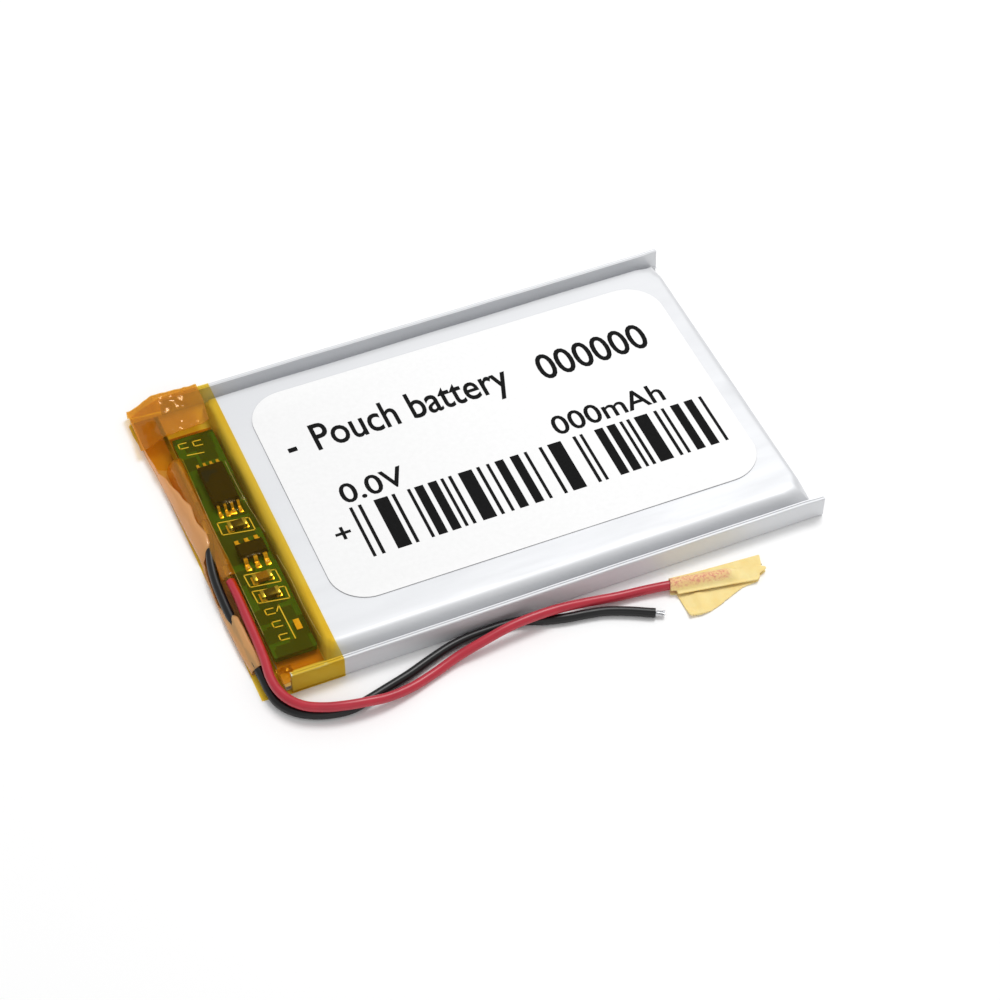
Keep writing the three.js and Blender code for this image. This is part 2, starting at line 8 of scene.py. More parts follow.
import bmesh
import bpy
from mathutils import Matrix, Vector, noise


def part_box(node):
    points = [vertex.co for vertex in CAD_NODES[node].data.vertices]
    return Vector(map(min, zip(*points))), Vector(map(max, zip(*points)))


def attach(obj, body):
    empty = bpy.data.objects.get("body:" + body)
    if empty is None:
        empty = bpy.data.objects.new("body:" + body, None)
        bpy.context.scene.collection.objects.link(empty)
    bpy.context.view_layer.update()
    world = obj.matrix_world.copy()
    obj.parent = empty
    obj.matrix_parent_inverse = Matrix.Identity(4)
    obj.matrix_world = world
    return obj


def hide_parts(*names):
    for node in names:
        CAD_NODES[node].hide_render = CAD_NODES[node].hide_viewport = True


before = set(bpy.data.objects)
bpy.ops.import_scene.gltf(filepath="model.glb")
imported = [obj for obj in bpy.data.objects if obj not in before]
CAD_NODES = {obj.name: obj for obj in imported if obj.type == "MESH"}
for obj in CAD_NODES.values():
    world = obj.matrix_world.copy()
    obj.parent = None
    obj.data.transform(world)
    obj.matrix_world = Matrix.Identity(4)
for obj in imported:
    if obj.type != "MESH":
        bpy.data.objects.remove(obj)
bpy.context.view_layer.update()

bl_info = {
    "name": "Pouch pack looks",
    "version": (1, 0, 0),
    "blender": (4, 5, 0),
    "location": "View3D > Sidebar > Pouch pack",
    "description": "Builds the visible pieces of a thin lithium polymer pouch pack",
    "category": "Object",
}

MM = 0.001
PACK = "pack"
FLAG = "tape_flag"


def to_linear(code):
    """An sRGB hex colour as linear red, green, blue and alpha."""
    parts = [int(code[i:i + 2], 16) / 255 for i in (0, 2, 4)]
    return [c / 12.92 if c <= 0.04045 else ((c + 0.055) / 1.055) ** 2.4 for c in parts] + [1.0]


def size_of(node):
    """Lowest and highest corner of a CAD node in millimetres."""
    low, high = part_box(node)
    return low / MM, high / MM


POUCH_LOW, POUCH_HIGH = size_of("pouch_laminate")
LABEL_LOW, LABEL_HIGH = size_of("cell_label")
TAPE_SIDE = size_of("head_wrap_tape")[1].y
BOARD_TOP = size_of("circuit_board")[1].z


# ---- Sizes and colours that a user would change -------------------------------------------

def length(name, text, millimetres):
    return bpy.props.FloatProperty(
        name=name, description=text, default=millimetres * MM, unit="LENGTH", precision=5)


def colour(name, text, code):
    return bpy.props.FloatVectorProperty(
        name=name, description=text, default=to_linear(code), subtype="COLOR", size=4,
        min=0.0, max=1.0)


class PouchSizes(bpy.types.PropertyGroup):
    """Sizes of the drawn and folded laminate."""

    sheet: length("Sheet", "Thickness of the laminate", 0.11)
    roof: length("Roof", "Height of the cup's roof over the table", 2.2)
    groove: length("Groove", "Height of the flat strip beside the cup", 0.25)
    edge_round: length("Edge round", "Radius where the roof turns into the side wall", 0.62)
    dents: length("Dents", "Depth of the soft handling dents in the roof", 0.035)


class LabelSizes(bpy.types.PropertyGroup):
    """Sizes of the paper label and of its print."""

    long_side: length("Length", "Length of the label", 38.6)
    short_side: length("Width", "Width of the label", 24.6)
    corner: length("Corner", "Radius of the label's corners", 3.3)
    turn: bpy.props.FloatProperty(
        name="Turn", description="How far askew the label was stuck on",
        default=math.radians(-0.3), subtype="ANGLE")
    ink: length("Ink", "Thickness of the printed ink", 0.008)


class TapeSizes(bpy.types.PropertyGroup):
    """Sizes of the film round the head."""

    film: length("Film", "Thickness of the polyimide tape", 0.06)
    end: length("End", "Where the tape ends on the pouch, along the pack", -17.7)
    wrinkles: length("Wrinkles", "Height of the small wrinkles in the film", 0.05)


class LeadSizes(bpy.types.PropertyGroup):
    """Sizes of the two leads."""

    diameter: length("Diameter", "Diameter over the insulation", 0.8)
    strand: length("Strand", "Diameter of one copper strand", 0.127)
    lay: length("Lay", "Length of one turn of the strands' twist", 7.0)
    stripped: length("Stripped", "Bare length at each end", 1.7)


class FlagSizes(bpy.types.PropertyGroup):
    """Sizes of the masking tape flag."""

    paper: length("Paper", "Thickness of the creped paper", 0.12)
    wire_level: length("Wire level", "Height of the lead's centre inside the flag", 0.56)
    wire_end: length("Wire end", "How far the lead reaches into the flag", 5.2)
    creping: length("Creping", "Height of the paper's crinkles", 0.016)


class PackColours(bpy.types.PropertyGroup):
    """Colours of the finishes."""

    laminate: colour("Laminate", "Outer face of the pouch", "DCDDDF")
    paper: colour("Paper", "Label paper", "F9F9F9")
    ink: colour("Ink", "Label print", "0B0B0B")
    film_tint: colour("Film tint", "What one pass through the film leaves of white", "FEF3BA")
    film_gloss: colour("Film gloss", "The film's own amber", "B8902E")
    solder_mask: colour("Solder mask", "Board", "0F3D1C")
    silkscreen: colour("Silkscreen", "Board print", "E9E4C8")
    red: colour("Red", "Red insulation", "BE2C3C")
    black: colour("Black", "Black insulation", "080808")
    masking_tape: colour("Masking tape", "Creped paper", "FDEBAC")


class StageSettings(bpy.types.PropertyGroup):
    """Floor, light and camera."""

    floor: colour("Floor", "Floor of the stage", "FFFFFF")
    surround: bpy.props.FloatProperty(
        name="Surround", description="Strength of the light from all round", default=0.58)
    camera_place: bpy.props.FloatVectorProperty(
        name="Camera place", description="Where the camera stands", subtype="XYZ",
        default=(-0.05737, -0.13998, 0.16792), unit="LENGTH", precision=5)
    camera_target: bpy.props.FloatVectorProperty(
        name="Camera target", description="What the camera looks at", subtype="XYZ",
        default=(0.000659, -0.005111, 0.00115), unit="LENGTH", precision=5)
    lens: bpy.props.FloatProperty(
        name="Lens", description="Focal length on a 36 mm sensor", default=95.1,
        subtype="DISTANCE_CAMERA")


def settings(name):
    return getattr(bpy.context.scene, "pouch_pack_" + name)


def mm(value):
    return value / MM


# ---- Mesh helpers -------------------------------------------------------------------------

SHARP_EDGE = 0.6        # edges that turn by more than this many radians are bevelled
SAME_POINT = 0.0008     # points closer than this many millimetres are joined
TINY_EDGE = 0.0005      # edges shorter than this many millimetres are dissolved


class Shape:
    """Points and faces in millimetres, gathered before they become one mesh."""

    def __init__(self):
        self.points = []
        self.faces = []
        self.finish = []

    def add(self, points, faces, finish=0):
        start = len(self.points)
        self.points += [tuple(p) for p in points]
        self.faces += [[start + i for i in face] for face in faces]
        self.finish += [finish] * len(faces)

    def grid(self, rows, closed=False, finish=0):
        """A sheet through rows of points, all of one length. closed joins each row's ends."""
        across = len(rows[0])
        last = across if closed else across - 1
        faces = [
            (i * across + j, i * across + (j + 1) % across,
             (i + 1) * across + (j + 1) % across, (i + 1) * across + j)
            for i in range(len(rows) - 1) for j in range(last)
        ]
        self.add([p for row in rows for p in row], faces, finish)

    def tube(self, path, radius, sides, finish=0):
        """A round tube along a path, closed at both ends."""
        rows = []
        for point, across, up in frames_along(path):
            rows.append([
                point + (across * math.cos(a) + up * math.sin(a)) * radius
                for a in (2 * math.pi * k / sides for k in range(sides))
            ])
        start = len(self.points)
        self.grid(rows, True, finish)
        end = start + (len(rows) - 1) * sides
        self.faces.append(list(range(start, start + sides))[::-1])
        self.faces.append(list(range(end, end + sides)))
        self.finish += [finish, finish]

    def slab(self, outline, low, high, bevel=0.0, steps=2, finish=0):
        """An outline in X and Y, between two heights, with its edges bevelled."""
        built = bmesh.new()
        ring = [built.verts.new((x, y, low)) for x, y in outline]
        base = built.faces.new(ring)
        grown = bmesh.ops.extrude_face_region(built, geom=[base])
        for v in grown["geom"]:
            if isinstance(v, bmesh.types.BMVert):
                v.co.z = high
        bmesh.ops.recalc_face_normals(built, faces=built.faces)
        if bevel:
            sharp = [e for e in built.edges if e.calc_face_angle(0) > SHARP_EDGE]
            bmesh.ops.bevel(built, geom=sharp, offset=bevel, segments=steps, affect="EDGES",
                            profile=0.5)
        built.verts.index_update()
        self.add([v.co for v in built.verts], [[v.index for v in f.verts] for f in built.faces],
                 finish)
        built.free()

    def box(self, low, high, bevel=0.0, finish=0):
        (x0, y0, z0), (x1, y1, z1) = low, high
        self.slab([(x0, y0), (x1, y0), (x1, y1), (x0, y1)], z0, z1, bevel, 2, finish)

    def piece(self, name, finishes, body, slot, thickness=0.0, offset=-1.0, smooth=35, turn=None):
        """The mesh object, riding on its body. A sheet is given its thickness here."""
        mesh = bpy.data.meshes.new(name)
        mesh.from_pydata(self.points, [], self.faces)
        mesh.transform(Matrix.Scale(MM, 4))
        if turn is not None:
            mesh.transform(turn)
        for material in finishes:
            mesh.materials.append(material)
        mesh.polygons.foreach_set("material_index", self.finish)
        merge_points(mesh)
        made = bpy.data.objects.new(name, mesh)
        bpy.context.scene.collection.objects.link(made)
        if thickness:
            give_thickness(made, thickness, offset)
        for face in made.data.polygons:
            face.use_smooth = True
        made.data.set_sharp_from_angle(angle=math.radians(smooth))
        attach(made, body)
        return made


def merge_points(mesh):
    """Joins points that fall together, and drops faces that this closes up."""
    built = bmesh.new()
    built.from_mesh(mesh)
    bmesh.ops.remove_doubles(built, verts=built.verts, dist=SAME_POINT * MM)
    bmesh.ops.dissolve_degenerate(built, edges=built.edges, dist=TINY_EDGE * MM)
    built.to_mesh(mesh)
    built.free()


def give_thickness(made, thickness, offset):
    """Turns a sheet into a solid of this many millimetres, baked into its mesh. An offset of 0
    puts the sheet in the middle of it, and -1 or 1 puts it all on one side."""
    thicken = made.modifiers.new("thickness", "SOLIDIFY")
    thicken.thickness = thickness * MM
    thicken.offset = offset
    bpy.context.view_layer.update()
    graph = bpy.context.evaluated_depsgraph_get()
    sheet = made.data
    made.data = bpy.data.meshes.new_from_object(made.evaluated_get(graph))
    made.modifiers.clear()
    name = sheet.name
    bpy.data.meshes.remove(sheet)
    made.data.name = name


def frames_along(path):
    """Each point of a path with two directions across it that don't twist."""
    up = Vector((0, 0, 1))
    out = []
    for i, point in enumerate(path):
        ahead = (path[min(i + 1, len(path) - 1)] - path[max(i - 1, 0)]).normalized()
        up = (up - ahead * up.dot(ahead)).normalized()
        out.append((point, up.cross(ahead), up))
    return out


def rounded_line(corners, radii, steps):
    """A line through corners in space, with its inner corners rounded."""
    out = [corners[0]]
    for i in range(1, len(corners) - 1):
        before, corner, after = corners[i - 1:i + 2]
        back, ahead = before - corner, after - corner
        a = corner + back.normalized() * min(radii[i - 1], back.length / 2)
        b = corner + ahead.normalized() * min(radii[i - 1], ahead.length / 2)
        for k in range(steps + 1):
            t = k / steps
            out.append(a.lerp(corner, t).lerp(corner.lerp(b, t), t))
    out.append(corners[-1])
    return out


def rounded_rectangle(width, height, radius, steps):
    """The outline of a rectangle with round corners, about the origin."""
    out = []
    for quarter, (sx, sy) in enumerate([(1, 1), (-1, 1), (-1, -1), (1, -1)]):
        for k in range(steps + 1):
            a = (quarter + k / steps) * math.pi / 2
            out.append((sx * (width / 2 - radius) + radius * math.cos(a),
                        sy * (height / 2 - radius) + radius * math.sin(a)))
    return out


def spread(start, end, count):
    """count + 1 values from start to end."""
    return [start + (end - start) * k / count for k in range(count + 1)]


def soft_step(low, high, value):
    """0 below low, 1 above high, and an eased rise between them."""
    t = min(1.0, max(0.0, (value - low) / (high - low)))
    return t * t * (3 - 2 * t)


def along_table(table, key):
    """A value between the rows of a table of (key, value...), eased at each row."""
    rows = sorted(table)
    if key <= rows[0][0]:
        return rows[0][1:]
    for a, b in zip(rows, rows[1:]):
        if key <= b[0]:
            t = soft_step(a[0], b[0], key)
            return tuple(p + (q - p) * t for p, q in zip(a[1:], b[1:]))
    return rows[-1][1:]


def ripple(x, y, size, seed=0.0):
    """Smooth noise from -1 to 1, with features of about the given size."""
    return noise.noise(Vector((x / size, y / size, seed)))


# ---- Materials ----------------------------------------------------------------------------

def add_node(tree, kind, inputs=None, **choices):
    """Adds a node, makes its choices, and sets or links its inputs."""
    made = tree.nodes.new(kind)
    for name, value in choices.items():
        setattr(made, name, value)
    for name, value in (inputs or {}).items():
        if isinstance(value, bpy.types.NodeSocket):
            tree.links.new(value, made.inputs[name])
        else:
            made.inputs[name].default_value = value
    return made


def new_material(name):
    """An empty material with object coordinates, which here are the row frame's metres."""
    made = bpy.data.materials.new(name)
    made.use_nodes = True
    made.node_tree.nodes.clear()
    tree = made.node_tree
    place = add_node(tree, "ShaderNodeTexCoord").outputs["Object"]
    return made, tree, place


def per_mm(size):
    """The noise scale that gives features of this many millimetres."""
    return 1 / (size * MM)


def surface(tree, shader):
    """Ends a material's tree in its output."""
    add_node(tree, "ShaderNodeOutputMaterial", {"Surface": shader})


def plain_finish(name, base, second, grain, rough, metallic=0.0, bump=0.0, variation=0.5,
                 stretch=(1, 1, 1), shader=None):
    """A finish whose colour wanders between two shades, over grain of a real size in mm."""
    made, tree, place = new_material(name)
    scaled = add_node(tree, "ShaderNodeMapping", {"Vector": place, "Scale": stretch})
    cloud = add_node(tree, "ShaderNodeTexNoise", {
        "Vector": scaled.outputs["Vector"], "Scale": per_mm(grain), "Detail": 4.0})
    share = add_node(tree, "ShaderNodeMapRange", {
        "Value": cloud.outputs["Fac"], "From Min": 0.5 - variation / 2,
        "From Max": 0.5 + variation / 2})
    mixed = add_node(tree, "ShaderNodeMix", {
        "Factor": share.outputs["Result"], "A": base, "B": second}, data_type="RGBA")
    inputs = {"Base Color": mixed.outputs["Result"], "Roughness": rough, "Metallic": metallic}
    if bump:
        raised = add_node(tree, "ShaderNodeBump", {
            "Height": cloud.outputs["Fac"], "Strength": 0.6, "Distance": bump * MM})
        inputs["Normal"] = raised.outputs["Normal"]
    inputs.update(shader or {})
    surface(tree, add_node(tree, "ShaderNodeBsdfPrincipled", inputs).outputs["BSDF"])
    return made


def aluminium_laminate():
    """Aluminium foil under a clear nylon film, cold drawn: a satin silver that mirrors the room
    softly, with faint draw lines along the pack and a fine orange-peel grain."""
    made, tree, place = new_material("aluminium laminate, nylon faced")
    grain = add_node(tree, "ShaderNodeTexNoise", {
        "Vector": place, "Scale": per_mm(0.35), "Detail": 3.0})
    lines = add_node(tree, "ShaderNodeMapping", {"Vector": place, "Scale": (0.12, 1, 1)})
    drawn = add_node(tree, "ShaderNodeTexNoise", {
        "Vector": lines.outputs["Vector"], "Scale": per_mm(0.9), "Detail": 5.0})
    cloud = add_node(tree, "ShaderNodeTexNoise", {
        "Vector": place, "Scale": per_mm(7), "Detail": 2.0})
    base = settings("colours").laminate
    cooler = [base[0] * 0.95, base[1] * 0.955, base[2] * 0.965, 1.0]
    tone = add_node(tree, "ShaderNodeMix", {
        "Factor": cloud.outputs["Fac"], "A": list(base), "B": cooler}, data_type="RGBA")
    rough = add_node(tree, "ShaderNodeMapRange", {
        "Value": drawn.outputs["Fac"], "From Min": 0.3, "From Max": 0.7,
        "To Min": 0.48, "To Max": 0.58})
    fine = add_node(tree, "ShaderNodeBump", {
        "Height": grain.outputs["Fac"], "Strength": 0.25, "Distance": 0.006 * MM})
    relief = add_node(tree, "ShaderNodeBump", {
        "Height": drawn.outputs["Fac"], "Strength": 0.35, "Distance": 0.01 * MM,
        "Normal": fine.outputs["Normal"]})
    surface(tree, add_node(tree, "ShaderNodeBsdfPrincipled", {
        "Base Color": tone.outputs["Result"], "Metallic": 0.36,
        "Roughness": rough.outputs["Result"], "Normal": relief.outputs["Normal"],
        "Coat Weight": 0.1, "Coat Roughness": 0.2}).outputs["BSDF"])
    return made


def label_paper():
    """Coated white label stock: matt and very white, with only a trace of fibre in its skin."""
    return plain_finish("coated label paper", list(settings("colours").paper),
                        to_linear("F5F5F5"), 0.4, 0.6, bump=0.004)


def paper_edge_shade():
    """The die-cut edge of the label, painted a hair of grey: painted shade where a thin contact
    shadow falls along the label's edge.
    """
    return plain_finish("die-cut paper edge, painted shade", to_linear("C4C4C6"), to_linear("A9A9AC"), 0.6, 0.8,
                        bump=0.01)


def printing_ink():
    """Thermal print: a dense soft black that lies in the paper, with a slight mottle."""
    return plain_finish("thermal print", list(settings("colours").ink), to_linear("131314"),
                        0.25, 0.85, bump=0.003, shader={"Specular IOR Level": 0.15})


def polyimide(name, tint, own, share, rough):
    """Polyimide tape: clear amber plastic film with glossy skin. Light passes it twice on the
    way to what it covers and back, so each layer darkens and warms it. tint is one face's part
    of that, and share is how much of the film's own amber and gloss shows."""
    made, tree, place = new_material(name)
    streak = add_node(tree, "ShaderNodeMapping", {"Vector": place, "Scale": (1, 0.35, 1)})
    cloud = add_node(tree, "ShaderNodeTexNoise", {
        "Vector": streak.outputs["Vector"], "Scale": per_mm(1.6), "Detail": 3.0})
    crinkle = add_node(tree, "ShaderNodeTexNoise", {
        "Vector": streak.outputs["Vector"], "Scale": per_mm(0.55), "Detail": 2.0})
    deeper = [c * c for c in tint[:3]] + [1.0]
    shade = add_node(tree, "ShaderNodeMapRange", {
        "Value": cloud.outputs["Fac"], "From Min": 0.45, "From Max": 0.8, "To Max": 0.35})
    passed = add_node(tree, "ShaderNodeMix", {
        "Factor": shade.outputs["Result"], "A": tint, "B": deeper}, data_type="RGBA")
    relief = add_node(tree, "ShaderNodeBump", {
        "Height": crinkle.outputs["Fac"], "Strength": 0.5, "Distance": 0.03 * MM})
    clear = add_node(tree, "ShaderNodeBsdfTransparent", {"Color": passed.outputs["Result"]})
    gloss = add_node(tree, "ShaderNodeBsdfPrincipled", {
        "Base Color": own, "Metallic": 0.1, "Roughness": rough, "IOR": 1.7,
        "Normal": relief.outputs["Normal"], "Coat Weight": 1.0, "Coat Roughness": 0.03})
    mixed = add_node(tree, "ShaderNodeMixShader", {"Fac": share})
    tree.links.new(clear.outputs["BSDF"], mixed.inputs[1])
    tree.links.new(gloss.outputs["BSDF"], mixed.inputs[2])
    surface(tree, mixed.outputs["Shader"])
    return made


def insulation(name, base, second, coat):
    """Extruded PVC: an even colour with a satin skin and a trace of die lines."""
    return plain_finish(name, base, second, 1.5, 0.34, bump=0.006, shader={
        "Coat Weight": coat, "Coat Roughness": 0.25, "Specular IOR Level": 0.4})


def masking_paper():
    """Crêpe masking tape: thin creped paper with rubber adhesive. Crinkles run across the roll
    about every 0.3 mm, light glows through it, and a wire under it shows pink in speckles."""
    made, tree, place = new_material("crepe masking tape")
    turned = add_node(tree, "ShaderNodeMapping", {
        "Vector": place, "Rotation": (0, 0, math.radians(10)), "Scale": (1, 0.3, 1)})
    crepe = add_node(tree, "ShaderNodeTexNoise", {
        "Vector": turned.outputs["Vector"], "Scale": per_mm(0.28), "Detail": 4.0,
        "Roughness": 0.65})
    cloud = add_node(tree, "ShaderNodeTexNoise", {"Vector": place, "Scale": per_mm(1.4)})
    base = list(settings("colours").masking_tape)
    worn = add_node(tree, "ShaderNodeMix", {
        "Factor": cloud.outputs["Fac"], "A": base, "B": to_linear("F4CE78")},
        data_type="RGBA")
    over = add_node(tree, "ShaderNodeAttribute", attribute_name="over_wire")
    speckle = add_node(tree, "ShaderNodeTexNoise", {
        "Vector": place, "Scale": per_mm(0.22), "Detail": 3.0})
    spots = add_node(tree, "ShaderNodeMapRange", {
        "Value": speckle.outputs["Fac"], "From Min": 0.45, "From Max": 0.66})
    warm = add_node(tree, "ShaderNodeMix", {
        "Factor": over.outputs["Fac"], "A": worn.outputs["Result"], "B": to_linear("F3C58C")},
        data_type="RGBA")
    share = add_node(tree, "ShaderNodeMath", {
        0: over.outputs["Fac"], 1: spots.outputs["Result"]}, operation="MULTIPLY")
    shown = add_node(tree, "ShaderNodeMix", {
        "Factor": share.outputs["Value"], "A": warm.outputs["Result"],
        "B": to_linear("E08A78")}, data_type="RGBA")
    relief = add_node(tree, "ShaderNodeBump", {
        "Height": crepe.outputs["Fac"], "Strength": 0.7, "Distance": 0.03 * MM})
    surface(tree, add_node(tree, "ShaderNodeBsdfPrincipled", {
        "Base Color": shown.outputs["Result"], "Roughness": 0.72,
        "Normal": relief.outputs["Normal"], "Subsurface Weight": 0.15,
        "Subsurface Radius": (0.0006, 0.0004, 0.0002),
        "Subsurface Scale": 1.0}).outputs["BSDF"])
    return made


def solder_mask():
    """FR4 board under green solder mask: glossy dark green, a shade lighter over the copper
    pour, with traces about 0.3 mm wide showing as low relief."""
    made, tree, place = new_material("FR4 board, green solder mask")
    cells = add_node(tree, "ShaderNodeTexVoronoi", {
        "Vector": place, "Scale": per_mm(1.7), "Randomness": 0.6},
        distance="CHEBYCHEV", feature="F1")
    pour = add_node(tree, "ShaderNodeMapRange", {
        "Value": cells.outputs["Distance"], "From Min": 0.44, "From Max": 0.47})
    base = list(settings("colours").solder_mask)
    lighter = to_linear("1E5E30")
    tone = add_node(tree, "ShaderNodeMix", {
        "Factor": pour.outputs["Result"], "A": base, "B": lighter}, data_type="RGBA")
    relief = add_node(tree, "ShaderNodeBump", {
        "Height": pour.outputs["Result"], "Strength": 0.5, "Distance": 0.03 * MM})
    surface(tree, add_node(tree, "ShaderNodeBsdfPrincipled", {
        "Base Color": tone.outputs["Result"], "Roughness": 0.3,
        "Normal": relief.outputs["Normal"], "Coat Weight": 0.2,
        "Coat Roughness": 0.1, "Specular IOR Level": 0.3}).outputs["BSDF"])
    return made


# Finishes that only wander between two shades: what the material is, both shades, the size of
# its grain in millimetres, its roughness, and what else it needs.
PLAIN_FINISHES = {
    # Moulded epoxy with glass filler: a grey-black with a fine dull grain.
    "chip": ("moulded epoxy", "0E0F11", "17181A", 0.12, 0.6,
             {"bump": 0.006, "shader": {"Specular IOR Level": 0.15}}),
    # Gilt copper: warm and bright where solder has flowed over it.
    "gilt": ("gilt copper", "E3B760", "F1D79A", 0.4, 0.28, {"metallic": 1.0, "bump": 0.01}),
    # Tin-lead solder: bright, slightly grainy silver with soft hollows.
    "solder": ("solder", "C9CBCE", "AFB2B6", 0.35, 0.25, {"metallic": 1.0, "bump": 0.02}),
    # Drawn copper strands dipped in tin: thin bright silver hairs.
    "tinned": ("tinned copper strand", "D5D6D8", "B9BABD", 0.5, 0.3,
               {"metallic": 1.0, "bump": 0.004}),
    # Thick-film resistor: black glass on white alumina.
    "resistor": ("resistor glaze", "26241F", "33302A", 0.2, 0.35, {"bump": 0.004}),
    # Fired ceramic capacitor: dull tan with a fine pitted skin.
    "capacitor": ("fired ceramic", "8A6A4A", "77593B", 0.15, 0.6, {"bump": 0.006}),
    # Graphite on copper foil: dull dark grey, rolled, with a faint sparkle.
    "anode": ("rolled graphite coating", "2B2B2D", "37373A", 0.2, 0.75,
              {"metallic": 0.1, "bump": 0.006}),
    # Lithium oxide on aluminium foil: near black with a brown cast.
    "cathode": ("rolled oxide coating", "3D3C40", "312E30", 0.2, 0.7,
                {"metallic": 0.15, "bump": 0.006}),
    # Microporous polyolefin: milky white, faintly silky along its draw.
    "separator": ("microporous film", "F0F0EA", "E4E4DE", 0.8, 0.5,
                  {"bump": 0.004, "stretch": (1, 0.2, 1)}),
    # Polyester winding tape: translucent green with a soft gloss.
    "winding": ("green polyester tape", "3F8F5A", "358050", 1.0, 0.35, {"bump": 0.004}),
    # Rolled aluminium strip: fine lines along the roll.
    "aluminium": ("rolled aluminium strip", "C9CACC", "B7B8BB", 0.3, 0.3,
                  {"metallic": 1.0, "bump": 0.006, "stretch": (0.1, 1, 1)}),
    # Nickel strip: warmer than aluminium, with fine rolling lines.
    "nickel": ("rolled nickel strip", "B9B3A6", "A69F92", 0.3, 0.32,
               {"metallic": 1.0, "bump": 0.006, "stretch": (0.1, 1, 1)}),
    # Cast polypropylene seal strip: waxy ivory.
    "sealant": ("polypropylene seal strip", "E9E4D2", "DDD6BF", 0.8, 0.45, {"bump": 0.006}),
}
FINISHES = {}


def finish(name):
    """A material made once and shared."""
    if name not in FINISHES:
        c = settings("colours")
        makers = {
            "laminate": aluminium_laminate,
            "paper": label_paper,
            "paper edge": paper_edge_shade,
            "ink": printing_ink,
            "film": lambda: polyimide("polyimide film", list(c.film_tint), list(c.film_gloss),
                                      0.03, 0.12),
            "doubled film": lambda: polyimide("polyimide film, doubled", to_linear("FCE8AE"),
                                              to_linear("EBA93C"), 0.22, 0.14),
            "lower film": lambda: polyimide("polyimide film, adhesive side", to_linear("FCE8C6"),
                                            to_linear("FBC07A"), 0.5, 0.3),
            # A sharp fold in the film, painted pale along its whole length: a painted highlight
            # where it catches the light.
            "crease": lambda: polyimide("polyimide film, creased, painted glint", list(c.film_tint),
                                        to_linear("D9C77E"), 0.4, 0.2),
            "red": lambda: insulation("PVC insulation, red", list(c.red),
                                      to_linear("AE2536"), 0.15),
            "black": lambda: insulation("PVC insulation, black", list(c.black),
                                        to_linear("0D0D0E"), 0.05),
            "masking": masking_paper,
            "mask": solder_mask,
            # Printed epoxy ink, slightly raised, ivory under the film.
            "silkscreen": lambda: plain_finish("board print", list(c.silkscreen),
                                               to_linear("D8D2B0"), 0.2, 0.6, bump=0.004),
        }
        if name in PLAIN_FINISHES:
            title, base, second, grain, rough, more = PLAIN_FINISHES[name]
            FINISHES[name] = plain_finish(title, to_linear(base), to_linear(second), grain, rough,
                                          **more)
        else:
            FINISHES[name] = makers[name]()
    return FINISHES[name]


def dress(node, name):
    """Gives a CAD node that is shown as it is its finish."""
    part = CAD_NODES[node]
    part.data.materials.clear()
    part.data.materials.append(finish(name))


# ---- Leads --------------------------------------------------------------------------------

FLAG_ENTRY = Vector((9.84, -18.67, 0))
FLAG_TURN = math.radians(-10)

# Points of each lead's route, from its solder joint, in millimetres.
RED_ROUTE = [
    (-23.1, -2.85, 1.1), (-23.12, -3.9, 1.12), (-23.1, -6.2, 1.18), (-23.18, -8.7, 1.2),
    (-23.22, -11, 1.2), (-23.35, -13.4, 1.26), (-23.55, -15.2, 1.32), (-23.45, -16.6, 1.32),
    (-22.95, -17.9, 1.3), (-22, -18.98, 1.3), (-20.55, -19.75, 1.3), (-19, -20.2, 1.28),
    (-17.4, -20.42, 1.15), (-15.6, -20.45, 0.85), (-13.5, -20.08, 0.55), (-11.3, -19.42, 0.43),
    (-8.9, -18.72, 0.62), (-6.4, -18.35, 1.02), (-4, -18.02, 1.27), (-1.7, -17.85, 1.29),
    (0.6, -17.78, 1.12), (2.9, -17.83, 0.8), (5.6, -18.08, 0.53), (7.6, -18.3, 0.52),
]
BLACK_ROUTE = [
    (-23.1, 2.45, 1.1), (-23.12, 1.5, 1.12), (-23.35, 0.1, 1.05), (-23.85, -1.7, 0.92),
    (-24.15, -3.6, 0.8), (-24.25, -5.6, 0.7), (-24.25, -7.6, 0.6), (-24.15, -10, 0.52),
    (-24.05, -12.5, 0.5), (-23.95, -14.5, 0.5), (-23.92, -15.9, 0.48), (-23.68, -17.15, 0.42),
    (-22.9, -18.4, 0.41), (-21.55, -19.38, 0.41), (-20, -19.92, 0.41), (-18.5, -20.08, 0.41),
    (-17, -19.75, 0.41), (-15.3, -19.3, 0.41), (-13.1, -18.7, 0.41), (-10.9, -17.95, 0.41),
    (-9, -17.38, 0.41), (-7.4, -17.12, 0.41), (-5.8, -17.06, 0.41), (-4.2, -17.06, 0.41),
    (-2.6, -17.25, 0.41), (-0.9, -17.9, 0.41), (0.9, -18.38, 0.41), (2.5, -18.65, 0.41),
    (4.1, -19.02, 0.41), (5.9, -19.8, 0.41), (7.4, -20.6, 0.41), (8.4, -21.08, 0.41),
]
RED_INSIDE_FLAG = (-0.6, 0.4, 1.6, 2.8, 4.0, 5.2)
# Where each lead leaves the tape.
RED_EXIT = (-23.55, -15.2, 1.32)
BLACK_EXIT = (-23.95, -14.5, 0.5)
BLACK_BARE_END = 0.75   # how far the black lead's strands stick out at its free end
STRANDS_SHORT = 0.05    # how far the strands start inside the solder
FAN_LENGTH = 1.5        # the strands open out over this much of their end


def flag_point(along, across=0.0, height=0.0):
    """A point in the flag's own directions, in the row frame's millimetres."""
    c, s = math.cos(FLAG_TURN), math.sin(FLAG_TURN)
    return Vector((FLAG_ENTRY.x + along * c - across * s,
                   FLAG_ENTRY.y + along * s + across * c, height))


